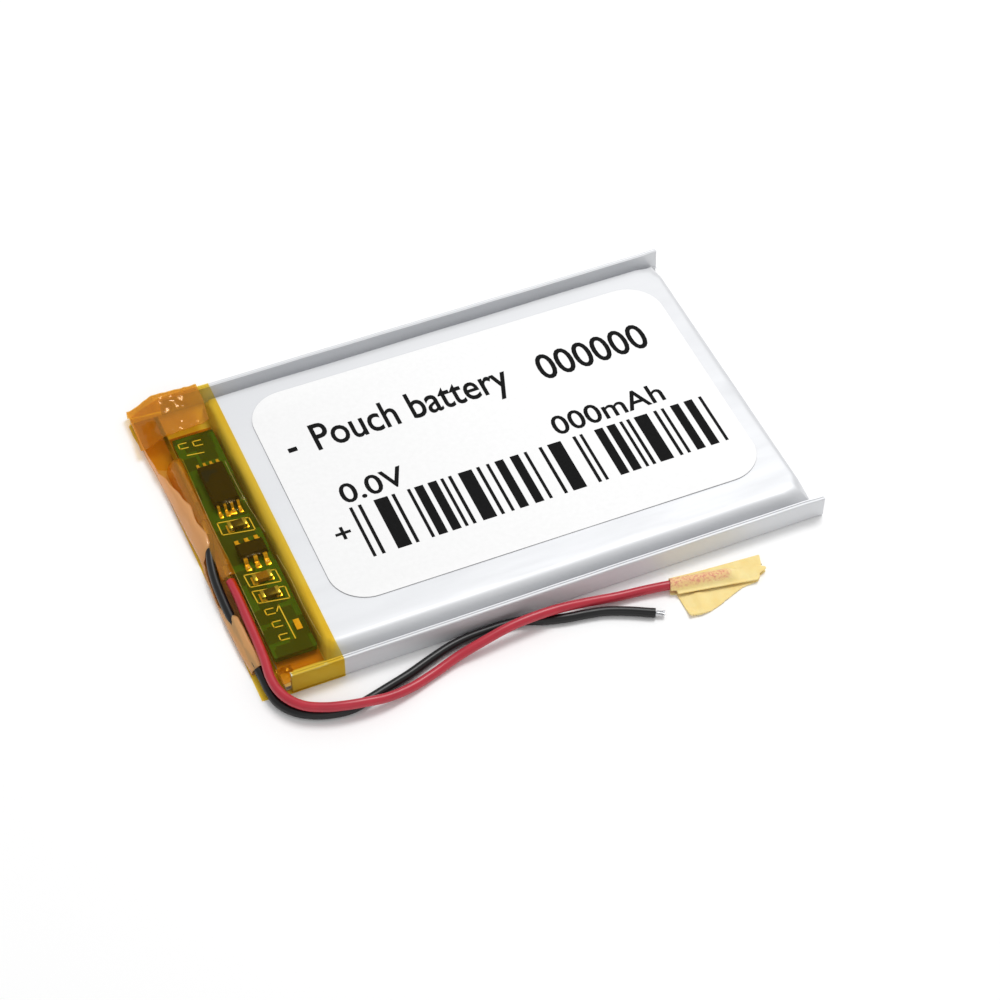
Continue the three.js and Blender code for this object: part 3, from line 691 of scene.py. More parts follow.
def smooth_route(points, steps=10):
    """A centripetal curve through the points, sampled evenly between each pair."""
    points = [Vector(p) for p in points]
    points = [points[0] * 2 - points[1], *points, points[-1] * 2 - points[-2]]
    out = []
    for p0, p1, p2, p3 in zip(points, points[1:], points[2:], points[3:]):
        t0 = 0.0
        t1 = t0 + math.sqrt((p1 - p0).length)
        t2 = t1 + math.sqrt((p2 - p1).length)
        t3 = t2 + math.sqrt((p3 - p2).length)
        for k in range(steps):
            t = t1 + (t2 - t1) * k / steps
            a1 = p0 * ((t1 - t) / (t1 - t0)) + p1 * ((t - t0) / (t1 - t0))
            a2 = p1 * ((t2 - t) / (t2 - t1)) + p2 * ((t - t1) / (t2 - t1))
            a3 = p2 * ((t3 - t) / (t3 - t2)) + p3 * ((t - t2) / (t3 - t2))
            b1 = a1 * ((t2 - t) / (t2 - t0)) + a2 * ((t - t0) / (t2 - t0))
            b2 = a2 * ((t3 - t) / (t3 - t1)) + a3 * ((t - t1) / (t3 - t1))
            out.append(b1 * ((t2 - t) / (t2 - t1)) + b2 * ((t - t1) / (t2 - t1)))
    out.append(points[-2])
    return out


def measure(path):
    """The length of a path."""
    return sum((b - a).length for a, b in zip(path, path[1:]))


def trimmed(path, start, end):
    """A path with a length taken off each end."""
    total = measure(path)
    out, gone = [], 0.0
    for a, b in zip(path, path[1:]):
        step = (b - a).length
        if gone <= start < gone + step:
            out.append(a.lerp(b, (start - gone) / step))
        if out and gone + step < total - end:
            if gone + step > start:
                out.append(b)
        elif out:
            out.append(a.lerp(b, (total - end - gone) / step))
            return out
        gone += step
    return out


def lead_insulation(name, path, node, material):
    """The insulation as a round curve along its route."""
    line = bpy.data.curves.new(name, "CURVE")
    line.dimensions = "3D"
    line.bevel_depth = settings("leads").diameter / 2
    line.bevel_resolution = 6
    line.use_fill_caps = True
    spline = line.splines.new("POLY")
    spline.points.add(len(path) - 1)
    for point, place in zip(spline.points, path):
        point.co = (*(place * MM), 1.0)
    spline.use_smooth = True
    line.materials.append(material)
    made = bpy.data.objects.new(name, line)
    bpy.context.scene.collection.objects.link(made)
    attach(made, PACK)
    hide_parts(node)
    return made


def lead_strands(name, path, node, fan):
    """Seven tinned strands twisted together. They spread by fan times at the far end."""
    sizes = settings("leads")
    strand = mm(sizes.strand)
    shape = Shape()
    whole = measure(path)
    frames_here = frames_along(path)
    for k in range(7):
        line, gone = [], 0.0
        for i, (point, across, up) in enumerate(frames_here):
            if i:
                gone += (point - path[i - 1]).length
            angle = 2 * math.pi * (gone / mm(sizes.lay) + k / 6)
            open_out = max(0.0, (gone - whole + FAN_LENGTH) / FAN_LENGTH)
            reach = strand * (1 + (fan - 1) * open_out ** 1.5 * (0.6 + 0.12 * k)) if k else 0.0
            line.append(point + (across * math.cos(angle) + up * math.sin(angle)) * reach)
        shape.tube(line, strand / 2, 6)
    made = shape.piece(name, [finish("tinned")], PACK, "tinned_copper", smooth=60)
    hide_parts(node)
    return made


class POUCH_OT_leads(bpy.types.Operator):
    """Build the two leads, each with its insulation and twisted strands"""

    bl_idname = "pouch_pack.leads"
    bl_label = "Leads"

    def execute(self, context):
        sizes = settings("leads")
        stripped = mm(sizes.stripped)
        level = mm(settings("flag").wire_level)
        into_flag = [tuple(flag_point(along, 0, level)) for along in RED_INSIDE_FLAG]
        for colour_name, points, exit_point, bare_end, fan in [
            ("red", RED_ROUTE + into_flag, RED_EXIT, stripped, 1.1),
            ("black", BLACK_ROUTE, BLACK_EXIT, BLACK_BARE_END, 1.35),
        ]:
            path = smooth_route(points)
            covered = trimmed(path, stripped, bare_end)
            insulated = lead_insulation(
                f"{colour_name}_lead", covered, f"{colour_name}_lead_insulation",
                finish(colour_name))
            strands = lead_strands(
                f"{colour_name}_lead_strands", trimmed(path, STRANDS_SHORT, 0.0),
                f"{colour_name}_lead_conductor", fan)
            Vector(exit_point) * MM
            measure(covered) * MM
        dress("red_lead_solder", "solder")
        dress("black_lead_solder", "solder")
        return {"FINISHED"}


# ---- Stage --------------------------------------------------------------------------------

class POUCH_OT_stage(bpy.types.Operator):
    """Build the pale floor, the soft studio light and the camera"""

    bl_idname = "pouch_pack.stage"
    bl_label = "Stage"

    def execute(self, context):
        stage = settings("stage")
        scene = context.scene
        scene.view_settings.view_transform = "Standard"
        scene.view_settings.look = "None"

        white, tree, place = new_material("matt white sweep")
        cloud = add_node(tree, "ShaderNodeTexNoise", {"Vector": place, "Scale": per_mm(40)})
        tone = add_node(tree, "ShaderNodeMix", {
            "Factor": cloud.outputs["Fac"], "A": list(stage.floor), "B": to_linear("FDFDFD")},
            data_type="RGBA")
        surface(tree, add_node(tree, "ShaderNodeBsdfPrincipled", {
            "Base Color": tone.outputs["Result"], "Roughness": 0.9,
            "Specular IOR Level": 0.1}).outputs["BSDF"])
        mesh = bpy.data.meshes.new("floor")
        half = 1.5
        mesh.from_pydata([(-half, -half, 0), (half, -half, 0), (half, half, 0), (-half, half, 0)],
                         [], [(0, 1, 2, 3)])
        mesh.materials.append(white)
        floor = bpy.data.objects.new("floor", mesh)
        scene.collection.objects.link(floor)

        world = bpy.data.worlds.new("white room")
        world.use_nodes = True
        world.node_tree.nodes["Background"].inputs["Color"].default_value = (1, 1, 1, 1)
        world.node_tree.nodes["Background"].inputs["Strength"].default_value = stage.surround
        scene.world = world

        for name, place, size, power in [
            ("top softbox", (0.17, 0.12, 0.42), 0.18, 1.15),
            ("front fill", (-0.12, -0.36, 0.24), 0.30, 0.14),
        ]:
            light = bpy.data.lights.new(name, "AREA")
            light.shape = "SQUARE"
            light.size = size
            light.energy = power
            lamp = bpy.data.objects.new(name, light)
            lamp.location = place
            lamp.rotation_euler = (-Vector(place)).to_track_quat("-Z", "Y").to_euler()
            scene.collection.objects.link(lamp)

        data = bpy.data.cameras.new("camera")
        data.lens = stage.lens
        data.sensor_width = 36
        data.clip_start = 0.005
        data.clip_end = 10
        camera = bpy.data.objects.new("camera", data)
        camera.location = stage.camera_place
        towards = Vector(stage.camera_target) - Vector(stage.camera_place)
        camera.rotation_euler = towards.to_track_quat("-Z", "Y").to_euler()
        scene.collection.objects.link(camera)
        scene.camera = camera
        return {"FINISHED"}


# ---- Pouch --------------------------------------------------------------------------------

# Plan of the cup, half of it: (roof x, roof y, foot x, foot y, share of far end, points to next)
CUP_PLAN = [
    (-18.5, 0.0, -18.8, 0.0, 0.0, 12),
    (-18.5, 14.2, -18.8, 15.4, 0.0, 4),
    (-18.1, 14.75, -18.5, 15.95, 0.0, 48),
    (22.6, 14.78, 22.9, 15.95, 0.0, 4),
    (23.75, 14.35, 24.9, 16.0, 0.45, 4),
    (24.3, 13.3, 24.8, 13.6, 1.0, 16),
    (24.34, 0.0, 24.78, 0.0, 1.0, 0),
]


WAIST = 0.95            # height of the crease between the cup's slope and its side
ROOF_EDGE = 1.3         # how far in from its edge the roof is drawn finely
SPINE_ENDS = (-9.0, 14.0)
ROOF_STEPS = (0.1, 0.25, 0.4, 0.55, 0.7, 0.85, 0.97)    # points on the way to the spine


def cup_rings():
    """Stations round the cup's plan: roof point, foot point and share of the far end."""
    half = []
    for a, b in zip(CUP_PLAN, CUP_PLAN[1:]):
        half += [tuple(p + (q - p) * k / a[5] for p, q in zip(a[:5], b[:5]))
                 for k in range(a[5])]
    half.append(CUP_PLAN[-1][:5])
    return half + [(rx, -ry, fx, -fy, far) for rx, ry, fx, fy, far in half[-2:0:-1]]


def dent(x, y):
    """How far handling has pressed the roof in, in millimetres."""
    size = settings("pouch")
    depth = mm(size.dents)
    soft = 0.6 * depth * ripple(x, y, 9, 3.1)
    nick = depth * 3.0 * math.exp(-((x - 23.9) / 0.35) ** 2 - ((y + 1.6) / 0.9) ** 2)
    far = depth * 1.6 * soft_step(21.0, 24.3, x) * (0.5 + 0.5 * ripple(x, y, 4, 8.0))
    return soft - nick - far


def add_cup(shape):
    """The drawn cup, as ribs from its foot over its edge to the spine of its roof."""
    size = settings("pouch")
    roof, groove = mm(size.roof), mm(size.groove)
    ribs = []
    for rx, ry, fx, fy, far in cup_rings():
        low = groove + (0.02 - groove) * soft_step(0.3, 0.9, far)
        foot = Vector((fx, fy, low))
        top = Vector((rx, ry, roof))
        rise = (WAIST - groove) / (roof - groove)
        side_waist = foot.lerp(top, rise)
        middle = side_waist.lerp(Vector((fx, fy, WAIST)), far)
        middle.z = WAIST
        spine = Vector((max(SPINE_ENDS[0], min(SPINE_ENDS[1], rx)), 0, roof))
        inward = (spine - top).normalized() * ROOF_EDGE
        line = rounded_line([foot, middle, top, top + inward],
                            [0.3, mm(size.edge_round)], 6)
        inner = line[-1]
        line += [inner.lerp(spine, t) for t in ROOF_STEPS]
        for p in line:
            p.z += dent(p.x, p.y) * soft_step(1.5, roof, p.z)
            if p.z > 1.2:
                p.y += 0.05 * ripple(p.x, p.y, 6, 5.5) * soft_step(12, 15, abs(p.y))
        ribs.append(line)
    ribs.append(ribs[0])
    shape.grid(ribs)
    ring = [rib[-1] for rib in ribs[:-1]]
    start = len(shape.points)
    shape.points += [tuple(p) for p in ring]
    count = len(ring)
    for k in range(count // 2):
        corners = (k, k + 1, (count - k - 1) % count, (count - k) % count)
        face = list(dict.fromkeys(start + corner for corner in corners))
        if len(face) > 2:
            shape.faces.append(face[::-1])
            shape.finish.append(0)


EAR = 0.35              # how far the flanges reach past the folded far end
FLANGE_START = 0.45     # how far the flanges stop short of the terrace's edge, under the tape
FLANGE_INSIDE = 16.2    # the flanges' inner and outer faces, across the pack
FLANGE_OUTSIDE = 16.5
FOLD_FOOT = 24.78       # where the sheet turns up at the folded far end
HEM_RADIUS = 0.16
HEM_MIDDLE = 16.35
TERRACE_END = -22.6     # the terrace's free edge, under the board


def flange_wave(x, height):
    """The flange's top edge leans in and out a little along the pack."""
    free = soft_step(-17.7, -16.0, x)
    lean = (0.05 * ripple(x, 0, 11, 2.2) + 0.03 * ripple(x, 0, 3.5, 7.7)) * free
    flare = 0.1 * soft_step(23.5, 25, x)
    return (lean + flare) * height / 2.2


def add_channel(shape, side, start, end):
    """The strip beside the cup and the inner ply of the flange."""
    size = settings("pouch")
    groove, top = mm(size.groove), mm(size.roof)
    rows = []
    for x in spread(start, end, 96):
        floor = groove + 0.02 * ripple(x, side, 2.5, 1.0)
        tuck = 0.5 * soft_step(24.0, 24.7, x)
        edge = Vector((x, side * (FLANGE_INSIDE + flange_wave(x, top)),
                       top - 0.01 + 0.02 * ripple(x, 9, 5)))
        line = rounded_line([
            Vector((x, side * (15.55 + tuck), floor - 0.05)),
            Vector((x, side * (15.9 + 0.35 * tuck), floor)),
            Vector((x, side * FLANGE_INSIDE, floor)),
            edge,
        ], [0.1, 0.09], 4)
        rows.append(line)
    shape.grid(rows if side > 0 else rows[::-1])


def add_outer_sheet(shape, start, end, far):
    """The lower half of the laminate: flange, underside and flange, in one run."""
    size = settings("pouch")
    top = mm(size.roof)
    rows = []
    stations = spread(start, far, 88) + spread(far, end, 4)[1:]
    for x in stations:
        half = []
        under = min(x, far)
        raised = 0.08 * (1 - soft_step(-17.8, -17.2, x))
        for y, z in [(16.47, top), (16.49, 1.6), (FLANGE_OUTSIDE, 0.9)]:
            half.append(Vector((x, y + flange_wave(x, z) * (0.6 if z > 1 else 0.2), z)))
        corner = rounded_line([
            Vector((x, FLANGE_OUTSIDE, 0.5)), Vector((x, FLANGE_OUTSIDE, raised)),
            Vector((x, 16.0, raised)),
        ], [0.22], 5)
        half += corner[:-1]
        for y in (15.95, 14.8, 12, 8, 4):
            half.append(Vector((under if y < 15.9 else x - 0.3 * (x - under), y, raised)))
        rows.append(half + [Vector((p.x, -p.y, p.z)) for p in half[::-1]])
    shape.grid(rows[::-1])


def add_hems(shape):
    """The seal's edge is turned over once along the top of each flange, so it is round."""
    size = settings("pouch")
    top = mm(size.roof)
    for side in (-1, 1):
        line = []
        for x in spread(POUCH_LOW.x + FLANGE_START, POUCH_HIGH.x + EAR, 96):
            line.append(Vector((x, side * (HEM_MIDDLE + 0.8 * flange_wave(x, top)),
                                top - HEM_RADIUS + 0.02 + 0.02 * ripple(x, 9, 5))))
        shape.tube(line, HEM_RADIUS, 10)


def add_terrace(shape):
    """The two plies under the board, past the cup."""
    rows = []
    for y in spread(-16.05, 16.05, 40):
        lift = 0.015 * ripple(0, y, 3, 6.0)
        rows.append([Vector((x, y, 0.48 + lift)) for x in spread(TERRACE_END, -18.6, 6)])
    shape.grid(rows)
    rows = []
    for y in spread(-16.1, 16.1, 20):
        rows.append([Vector((x, y, 0.19)) for x in spread(TERRACE_END, -17.6, 6)])
    shape.grid(rows)


class POUCH_OT_pouch(bpy.types.Operator):
    """Build the drawn and folded laminate pouch"""

    bl_idname = "pouch_pack.pouch"
    bl_label = "Pouch"

    def execute(self, context):
        size = settings("pouch")
        shape = Shape()
        add_cup(shape)
        start, ear = POUCH_LOW.x + FLANGE_START, POUCH_HIGH.x + EAR
        for side in (-1, 1):
            add_channel(shape, side, start, ear - 0.02)
        add_outer_sheet(shape, start, ear, FOLD_FOOT)
        add_terrace(shape)
        made = shape.piece("pouch_sheet", [finish("laminate")], PACK, "laminate",
                           thickness=mm(size.sheet), offset=-1.0, smooth=50)
        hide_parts("pouch_laminate")
        hems = Shape()
        add_hems(hems)
        hems.piece("flange_hems", [finish("laminate")], PACK, "laminate", smooth=60)
        for node, name in [
            ("anode_strip", "anode"), ("cathode_strip", "cathode"),
            ("separator_inner", "separator"), ("separator_outer", "separator"),
            ("winding_end_tape", "winding"), ("positive_tab", "aluminium"),
            ("negative_tab", "nickel"), ("positive_tab_sealant", "sealant"),
            ("negative_tab_sealant", "sealant"), ("positive_nickel_link", "nickel"),
            ("negative_nickel_link", "nickel"),
        ]:
            dress(node, name)
        return {"FINISHED"}


# ---- Label --------------------------------------------------------------------------------

# Printed words: text, left edge, baseline, width, and height of a capital, in millimetres.
LABEL_WORDS = [
    ("-", -17.5, 4.44, 0.8, 3.0),
    ("Pouch battery", -15.06, 4.5, 18.1, 3.05),
    ("000000", 5.88, 4.58, 10.4, 3.0),
    ("0.0V", -15.22, -2.07, 5.8, 2.15),
    ("000mAh", 4.28, -1.87, 10.4, 2.15),
    ("+", -17.14, -6.04, 1.35, 2.0),
]
PRINT_RISE = 0.025      # how much the lines of print climb over the label's edge, per length
CAPITAL = 0.7           # height of a capital in the built-in letters, per size
THICKER = 0.012         # how far the letters' strokes are grown, per size
BARS = (-15.05, 18.0)   # left and right end of the row of bars
BAR_WIDTHS = (0.28, 0.85, 0.42, 1.25, 0.3, 0.8, 1.5)
BAR_GAPS = (0.5, 0.42, 1.1, 0.6, 0.36)
# Foot and head of the bars: height 15 mm left of the label's middle, and climb per length.
BAR_FOOT = (-8.37, 0.0115)
BAR_HEAD = (-2.62, 0.0045)


def word_mesh(text, left, base, width, capital):
    """A word as a mesh in millimetres, fitted to its width and capital height."""
    curve = bpy.data.curves.new("word", "FONT")
    curve.body = text
    curve.resolution_u = 4
    curve.offset = THICKER
    holder = bpy.data.objects.new("word", curve)
    bpy.context.scene.collection.objects.link(holder)
    bpy.context.view_layer.update()
    graph = bpy.context.evaluated_depsgraph_get()
    mesh = bpy.data.meshes.new_from_object(holder.evaluated_get(graph))
    points = [v.co.copy() for v in mesh.vertices]
    faces = [list(f.vertices) for f in mesh.polygons]
    bpy.data.objects.remove(holder)
    bpy.data.meshes.remove(mesh)
    low = min(p.x for p in points)
    high = max(p.x for p in points)
    across = width / (high - low)
    up = capital / CAPITAL
    placed = []
    for p in points:
        along = (p.x - low) * across
        placed.append(Vector((left + along, base + along * PRINT_RISE + p.y * up, 0)))
    return placed, faces


def bar_pattern():
    """Left and right edges of a made-up row of bars that stands for no number."""
    x, k = BARS[0], 0
    while x < BARS[1] - 0.5:
        bar = BAR_WIDTHS[(k * 3 + k * k) % len(BAR_WIDTHS)]
        gap = BAR_GAPS[(k * 2 + k // 3) % len(BAR_GAPS)]
        right = min(x + bar, BARS[1])
        yield x, right
        x = right + gap
        k += 1


def bar_corners(left, right):
    """Outline of one bar, between the lines of the bars' feet and heads."""
    foot, head = (height + climb * (left + 15) for height, climb in (BAR_FOOT, BAR_HEAD))
    return [(left, foot), (right, foot), (right, head), (left, head)]


def face_height(shape, face):
    """Mean height of a face."""
    return sum(shape.points[i][2] for i in face) / len(face)


class POUCH_OT_label(bpy.types.Operator):
    """Build the paper label and its print"""

    bl_idname = "pouch_pack.label"
    bl_label = "Label"

    def execute(self, context):
        size = settings("label")
        middle = (LABEL_LOW + LABEL_HIGH) / 2
        turn = (Matrix.Translation(Vector((middle.x, middle.y, 0)) * MM)
                @ Matrix.Rotation(size.turn, 4, "Z"))
        outline = rounded_rectangle(mm(size.long_side), mm(size.short_side), mm(size.corner), 12)
        low, high = LABEL_LOW.z, LABEL_HIGH.z
        paper = Shape()
        paper.slab(outline, low - 0.03, high, 0.025, 2)
        # Every face but the top one shows the cut edge of the paper, painted grey as shade.
        paper.finish = [int(abs(face_height(paper, face) - high) > 0.004)
                        for face in paper.faces]
        made = paper.piece("paper_label", [finish("paper"), finish("paper edge")], PACK, "label",
                           turn=turn)
        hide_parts("cell_label")

        ink = Shape()
        depth = mm(size.ink)
        for left, right in bar_pattern():
            ink.slab(bar_corners(left, right), high - 0.01, high + depth)
        for word in LABEL_WORDS:
            points, faces = word_mesh(*word)
            top = [Vector((p.x, p.y, high + depth)) for p in points]
            ink.add(top, faces)
        ink.piece("label_print", [finish("ink")], PACK, "label", turn=turn)
        return {"FINISHED"}


# ---- Board --------------------------------------------------------------------------------

# Frames printed round the chip parts: their four corners in X and Y.
PRINTED_FRAMES = [
    [(-22.1, 1.67), (-19.44, 1.24), (-19.4, -0.24), (-22.11, 0.25)],
    [(-21.96, -4.55), (-19.37, -4.95), (-19.32, -6.33), (-21.9, -5.95)],
    [(-21.93, -6.44), (-19.25, -6.94), (-19.29, -8.26), (-21.87, -7.8)],
]
# Plain marks: middle in X and Y, one line each.
PRINTED_MARKS = [(-21.3, -8.95), (-21.2, -10.4), (-21.15, -11.85), (-21.9, 11.1), (-20.65, 10.95)]

LINE_WIDTH = 0.1        # width of the board's printed lines
PAD_EDGE = 0.012        # bevel of the solder pads
CHIP_CAP = 0.32         # length of a chip part's metal ends

CHIP_PARTS = [
    ("series_resistor", "resistor"), ("filter_capacitor", "capacitor"),
    ("sense_resistor", "resistor"),
]


def printed_line(shape, a, b, low, high):
    """A printed line as a thin raised bar."""
    a, b = Vector(a), Vector(b)
    ahead = (b - a).normalized() * LINE_WIDTH / 2
    side = Vector((-ahead.y, ahead.x))
    a, b = a - ahead, b + ahead
    shape.slab([a - side, b - side, b + side, a + side], low, high)


class POUCH_OT_board(bpy.types.Operator):
    """Build the board's print, pads and chip parts, and finish its chips"""

    bl_idname = "pouch_pack.board"
    bl_label = "Protection board"

    def execute(self, context):
        dress("circuit_board", "mask")
        for node in ("mosfet_body", "controller_body"):
            dress(node, "chip")
        for node in ("mosfet_leadframe", "controller_leadframe", "board_test_pad"):
            dress(node, "gilt")
        dress("pcb_underlay_tape", "doubled film")

        low, high = BOARD_TOP - 0.005, BOARD_TOP + 0.018
        ink = Shape()
        for corners in PRINTED_FRAMES:
            for a, b in zip(corners, corners[1:] + corners[:1]):
                printed_line(ink, a, b, low, high)
        printed_line(ink, (-20.41, -8.6), (-20.34, -12.35), low, high)
        printed_line(ink, (-20.41, -8.6), (-20.75, -9.15), low, high)
        for x, y in PRINTED_MARKS:
            printed_line(ink, (x - 0.35, y - 0.28), (x + 0.35, y - 0.34), low, high)
            printed_line(ink, (x - 0.35, y + 0.3), (x + 0.35, y + 0.24), low, high)
            printed_line(ink, (x - 0.35, y - 0.28), (x - 0.35, y + 0.3), low, high)
        printed_line(ink, (-21.9, 9.9), (-20.5, 9.7), low, high)
        ink.piece("board_print", [finish("silkscreen")], PACK, "label")

        pads = Shape()
        pad_high = BOARD_TOP + 0.03
        for node, _ in CHIP_PARTS:
            a, b = size_of(node)
            for x in (a.x - 0.12, b.x - 0.42):
                pads.box((x, a.y - 0.05, low), (x + 0.54, b.y + 0.05, pad_high), PAD_EDGE)
        for node, count, pitch, width in [("mosfet_leadframe", 4, 0.58, 0.34),
                                          ("controller_leadframe", 3, 0.85, 0.46)]:
            a, b = size_of(node)
            middle = (a.x + b.x) / 2
            for k in range(count):
                x = middle + (k - (count - 1) / 2) * pitch
                pads.box((x - width / 2, a.y - 0.2, low),
                         (x + width / 2, a.y + 0.55, pad_high), PAD_EDGE)
        a, b = size_of("mosfet_leadframe")
        middle = (a.x + b.x) / 2
        pads.box((middle - 0.35, a.y - 0.15, low),
                 (middle + 0.35, a.y + 0.35, pad_high + 0.03), 0.02)
        pads.piece("board_pads", [finish("gilt")], PACK, "gold")

        for node, glaze in CHIP_PARTS:
            a, b = size_of(node)
            part = Shape()
            part.box((a.x + CHIP_CAP * 0.8, a.y + 0.02, a.z),
                     (b.x - CHIP_CAP * 0.8, b.y - 0.02, b.z - 0.02), 0.03)
            part.box(a, (a.x + CHIP_CAP, b.y, b.z), 0.04, finish=1)
            part.box((b.x - CHIP_CAP, a.y, a.z), b, 0.04, finish=1)
            made = part.piece(f"{node}_part", [finish(glaze), finish("solder")], PACK, "ceramic")
            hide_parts(node)
        return {"FINISHED"}


# ---- Tape round the head ------------------------------------------------------------------

# Outer edge of the upper film: Y, then how far out and how high it ends, and the height and
# place of its crest between the board and that edge.
UPPER_EDGE = [
    (16.6, -24.95, 0.75, -23.2, 1.75), (12.6, -24.92, 0.72, -23.4, 1.7),
    (10.0, -24.7, 0.8, -23.2, 1.75), (8.4, -23.3, 1.35, -22.95, 1.66),
    (5.5, -22.95, 1.5, -22.8, 1.64), (0.0, -22.9, 1.44, -22.8, 1.6),
    (-2.4, -22.95, 1.45, -22.8, 1.62), (-3.9, -23.4, 1.5, -22.95, 1.68),
    (-5.0, -22.95, 1.66, -22.7, 1.68), (-8.5, -22.88, 1.68, -22.6, 1.68),
    (-12.0, -22.98, 1.7, -22.6, 1.7), (-14.2, -22.95, 1.86, -22.7, 1.88),
    (-16.6, -22.3, 2.1, -22.1, 2.2),
]
# Free edge of the lower film: Y, how far out and how high it ends, and how far out it folds.
LOWER_EDGE = [
    (16.4, -24.95, 0.74, -25.0), (12.0, -24.95, 0.74, -25.0), (9.8, -24.75, 0.9, -24.86),
    (8.0, -24.3, 1.1, -24.8), (5.5, -23.85, 1.32, -24.72), (4.2, -23.5, 1.46, -24.7),
    (2.4, -23.65, 1.5, -24.66), (0.6, -23.3, 1.6, -24.6), (-0.4, -23.4, 1.52, -24.55),
    (-1.3, -24.4, 0.45, -24.55), (-2.5, -24.64, 0.3, -24.7), (-6.0, -24.75, 0.3, -24.8),
    (-7.2, -24.5, 0.7, -24.86), (-8.3, -23.8, 1.08, -24.86), (-11.0, -23.7, 1.06, -24.8),
    (-13.6, -23.6, 1.02, -24.62),
]


def supports():
    """What the film is stretched over: boxes in plan, and the height of each."""
    found = []
    for node in ("mosfet_body", "controller_body", "series_resistor", "filter_capacitor",
                 "sense_resistor"):
        low, high = size_of(node)
        found.append(((low.x + high.x) / 2, (low.y + high.y) / 2,
                      (high.x - low.x) / 2, (high.y - low.y) / 2, high.z))
    return found


FILM_TOP = 2.275        # height of the film where it lies on the pouch's shoulder
WRAP_SHOULDER = -18.3   # where the film leaves the shoulder
WRAP_MOUTH = -22.0      # where the flanges end and the film's free edges begin
# How far out the free edges reach at the back, on the underside and at the front.
BACK_REACH, UNDER_REACH, FRONT_REACH = -24.95, -24.7, -22.25
SIDE_RISES = (0.93, 0.78, 0.6, 0.42, 0.25, 0.1)     # heights down a side, per height of its top
FILM_OVER_CHIP = 0.085  # gap from a chip's top to the film's outer face
CREASE_RADIUS = 0.022

# Sharp creases where the film was pressed down round the board, drawn as thin pale tubes that are
# painted highlights: points in X and Y.
TAPE_CREASES = [
    [(-22.5, 9.4), (-22.6, 5.2), (-22.7, 0.6), (-22.6, -2.7), (-22.62, -6.2), (-22.65, -11.3)],
    [(-19.4, 7.2), (-19.35, 3.6), (-19.1, 0.7), (-18.95, -1.5)],
    [(-18.9, -4.2), (-18.75, -7.3), (-18.8, -10.5), (-18.65, -13.8)],
]


def film_height(x, y, props):
    """Height of the film's top face between the pouch's shoulder and the board's outer edge."""
    if x > -18.45:
        return FILM_TOP
    fall = 1 - soft_step(-19.7, -18.5, x)
    base = 2.27 - 0.46 * fall - 0.12 * soft_step(19.5, 22.6, -x)
    base += 0.16 * soft_step(11.2, 13.5, y)
    base += (FILM_TOP - base) * soft_step(14.6, 16.0, abs(y)) * (1 - soft_step(22.0, 22.8, -x))
    for cx, cy, hx, hy, top in props:
        near = (1 - soft_step(0, 1.0, abs(x - cx) - hx)) * (1 - soft_step(0, 1.5, abs(y - cy) - hy))
        base = max(base, base + (top + FILM_OVER_CHIP - base) * near)
    size = mm(settings("tape").wrinkles)
    folds = size * (0.7 * ripple(x * 1.6, y, 1.5, 4.4) - 1.0 * abs(ripple(x, y * 0.5, 1.3, 9.1)))
    return base + folds * soft_step(18.6, 19.3, -x) + 0.25 * size


def wrap_section(x, props, edge_share):
    """One loop of the film round the head. edge_share runs from 0, at the flanges, to 1, at the
    film's free edges."""
    def reached(far):
        return x if edge_share <= 0 else WRAP_MOUTH + (far - WRAP_MOUTH) * edge_share

    line = []
    side = TAPE_SIDE
    for y in spread(-side + 0.12, side - 0.12, 92):
        out, end, crest_x, crest = along_table(UPPER_EDGE, y)
        if edge_share <= 0:
            px, pz = x, film_height(x, y, props)
        else:
            a = Vector((WRAP_MOUTH, film_height(WRAP_MOUTH, y, props)))
            b = Vector((crest_x, crest))
            c = Vector((out, end))
            t = edge_share
            mid = b * 2 - (a + c) / 2
            spot = a.lerp(mid, t).lerp(mid.lerp(c, t), t)
            px, pz = spot
            pz += 0.05 * ripple(px, y, 1.1, 6.6) * t * (1 - 0.4 * t)
        line.append(Vector((px, y, pz)))
    back_x, under_x, front_x = reached(BACK_REACH), reached(UNDER_REACH), reached(FRONT_REACH)
    back_top = line[-1].z
    for z in SIDE_RISES:
        bulge = 0.03 * ripple(back_x, z * 2, 1.2, 2.0)
        line.append(Vector((back_x, side + bulge, back_top * z)))
    line.append(Vector((back_x, side - 0.04, 0.04)))
    for y in spread(side - 0.3, -side + 0.3, 24):
        reach = 0.5 * soft_step(11, 15, y) * max(edge_share, 0)
        line.append(Vector((under_x - reach, y, 0.005)))
    line.append(Vector((front_x, -side + 0.04, 0.04)))
    front_top = line[0].z
    for z in reversed(SIDE_RISES):
        bulge = 0.03 * ripple(front_x, z * 2, 1.6, 5.0)
        line.append(Vector((front_x, -side + bulge, front_top * z)))
    return line


def lower_flap():
    """The lower film's free edge, adhesive side out, turned up in front of the board."""
    flap = Shape()
    rows = []
    for y in spread(-13.6, 16.4, 90):
        out, high, fold = along_table(LOWER_EDGE, y)
        wave = 0.06 * ripple(y, 3, 1.7, 1.5)
        rows.append(rounded_line([
            Vector((-22.9, y, 0.1)), Vector((fold + 0.05, y, 0.1)),
            Vector((fold + 0.02 + wave * 0.3, y, 0.1 + 0.36 * high)),
            Vector(((fold + out) / 2 + 0.1 + wave, y, high * 0.97)),
            Vector((out + wave, y, high + wave * 0.6)),
        ], [0.1, 0.25, 0.4], 5))
    flap.grid(rows)
    return flap


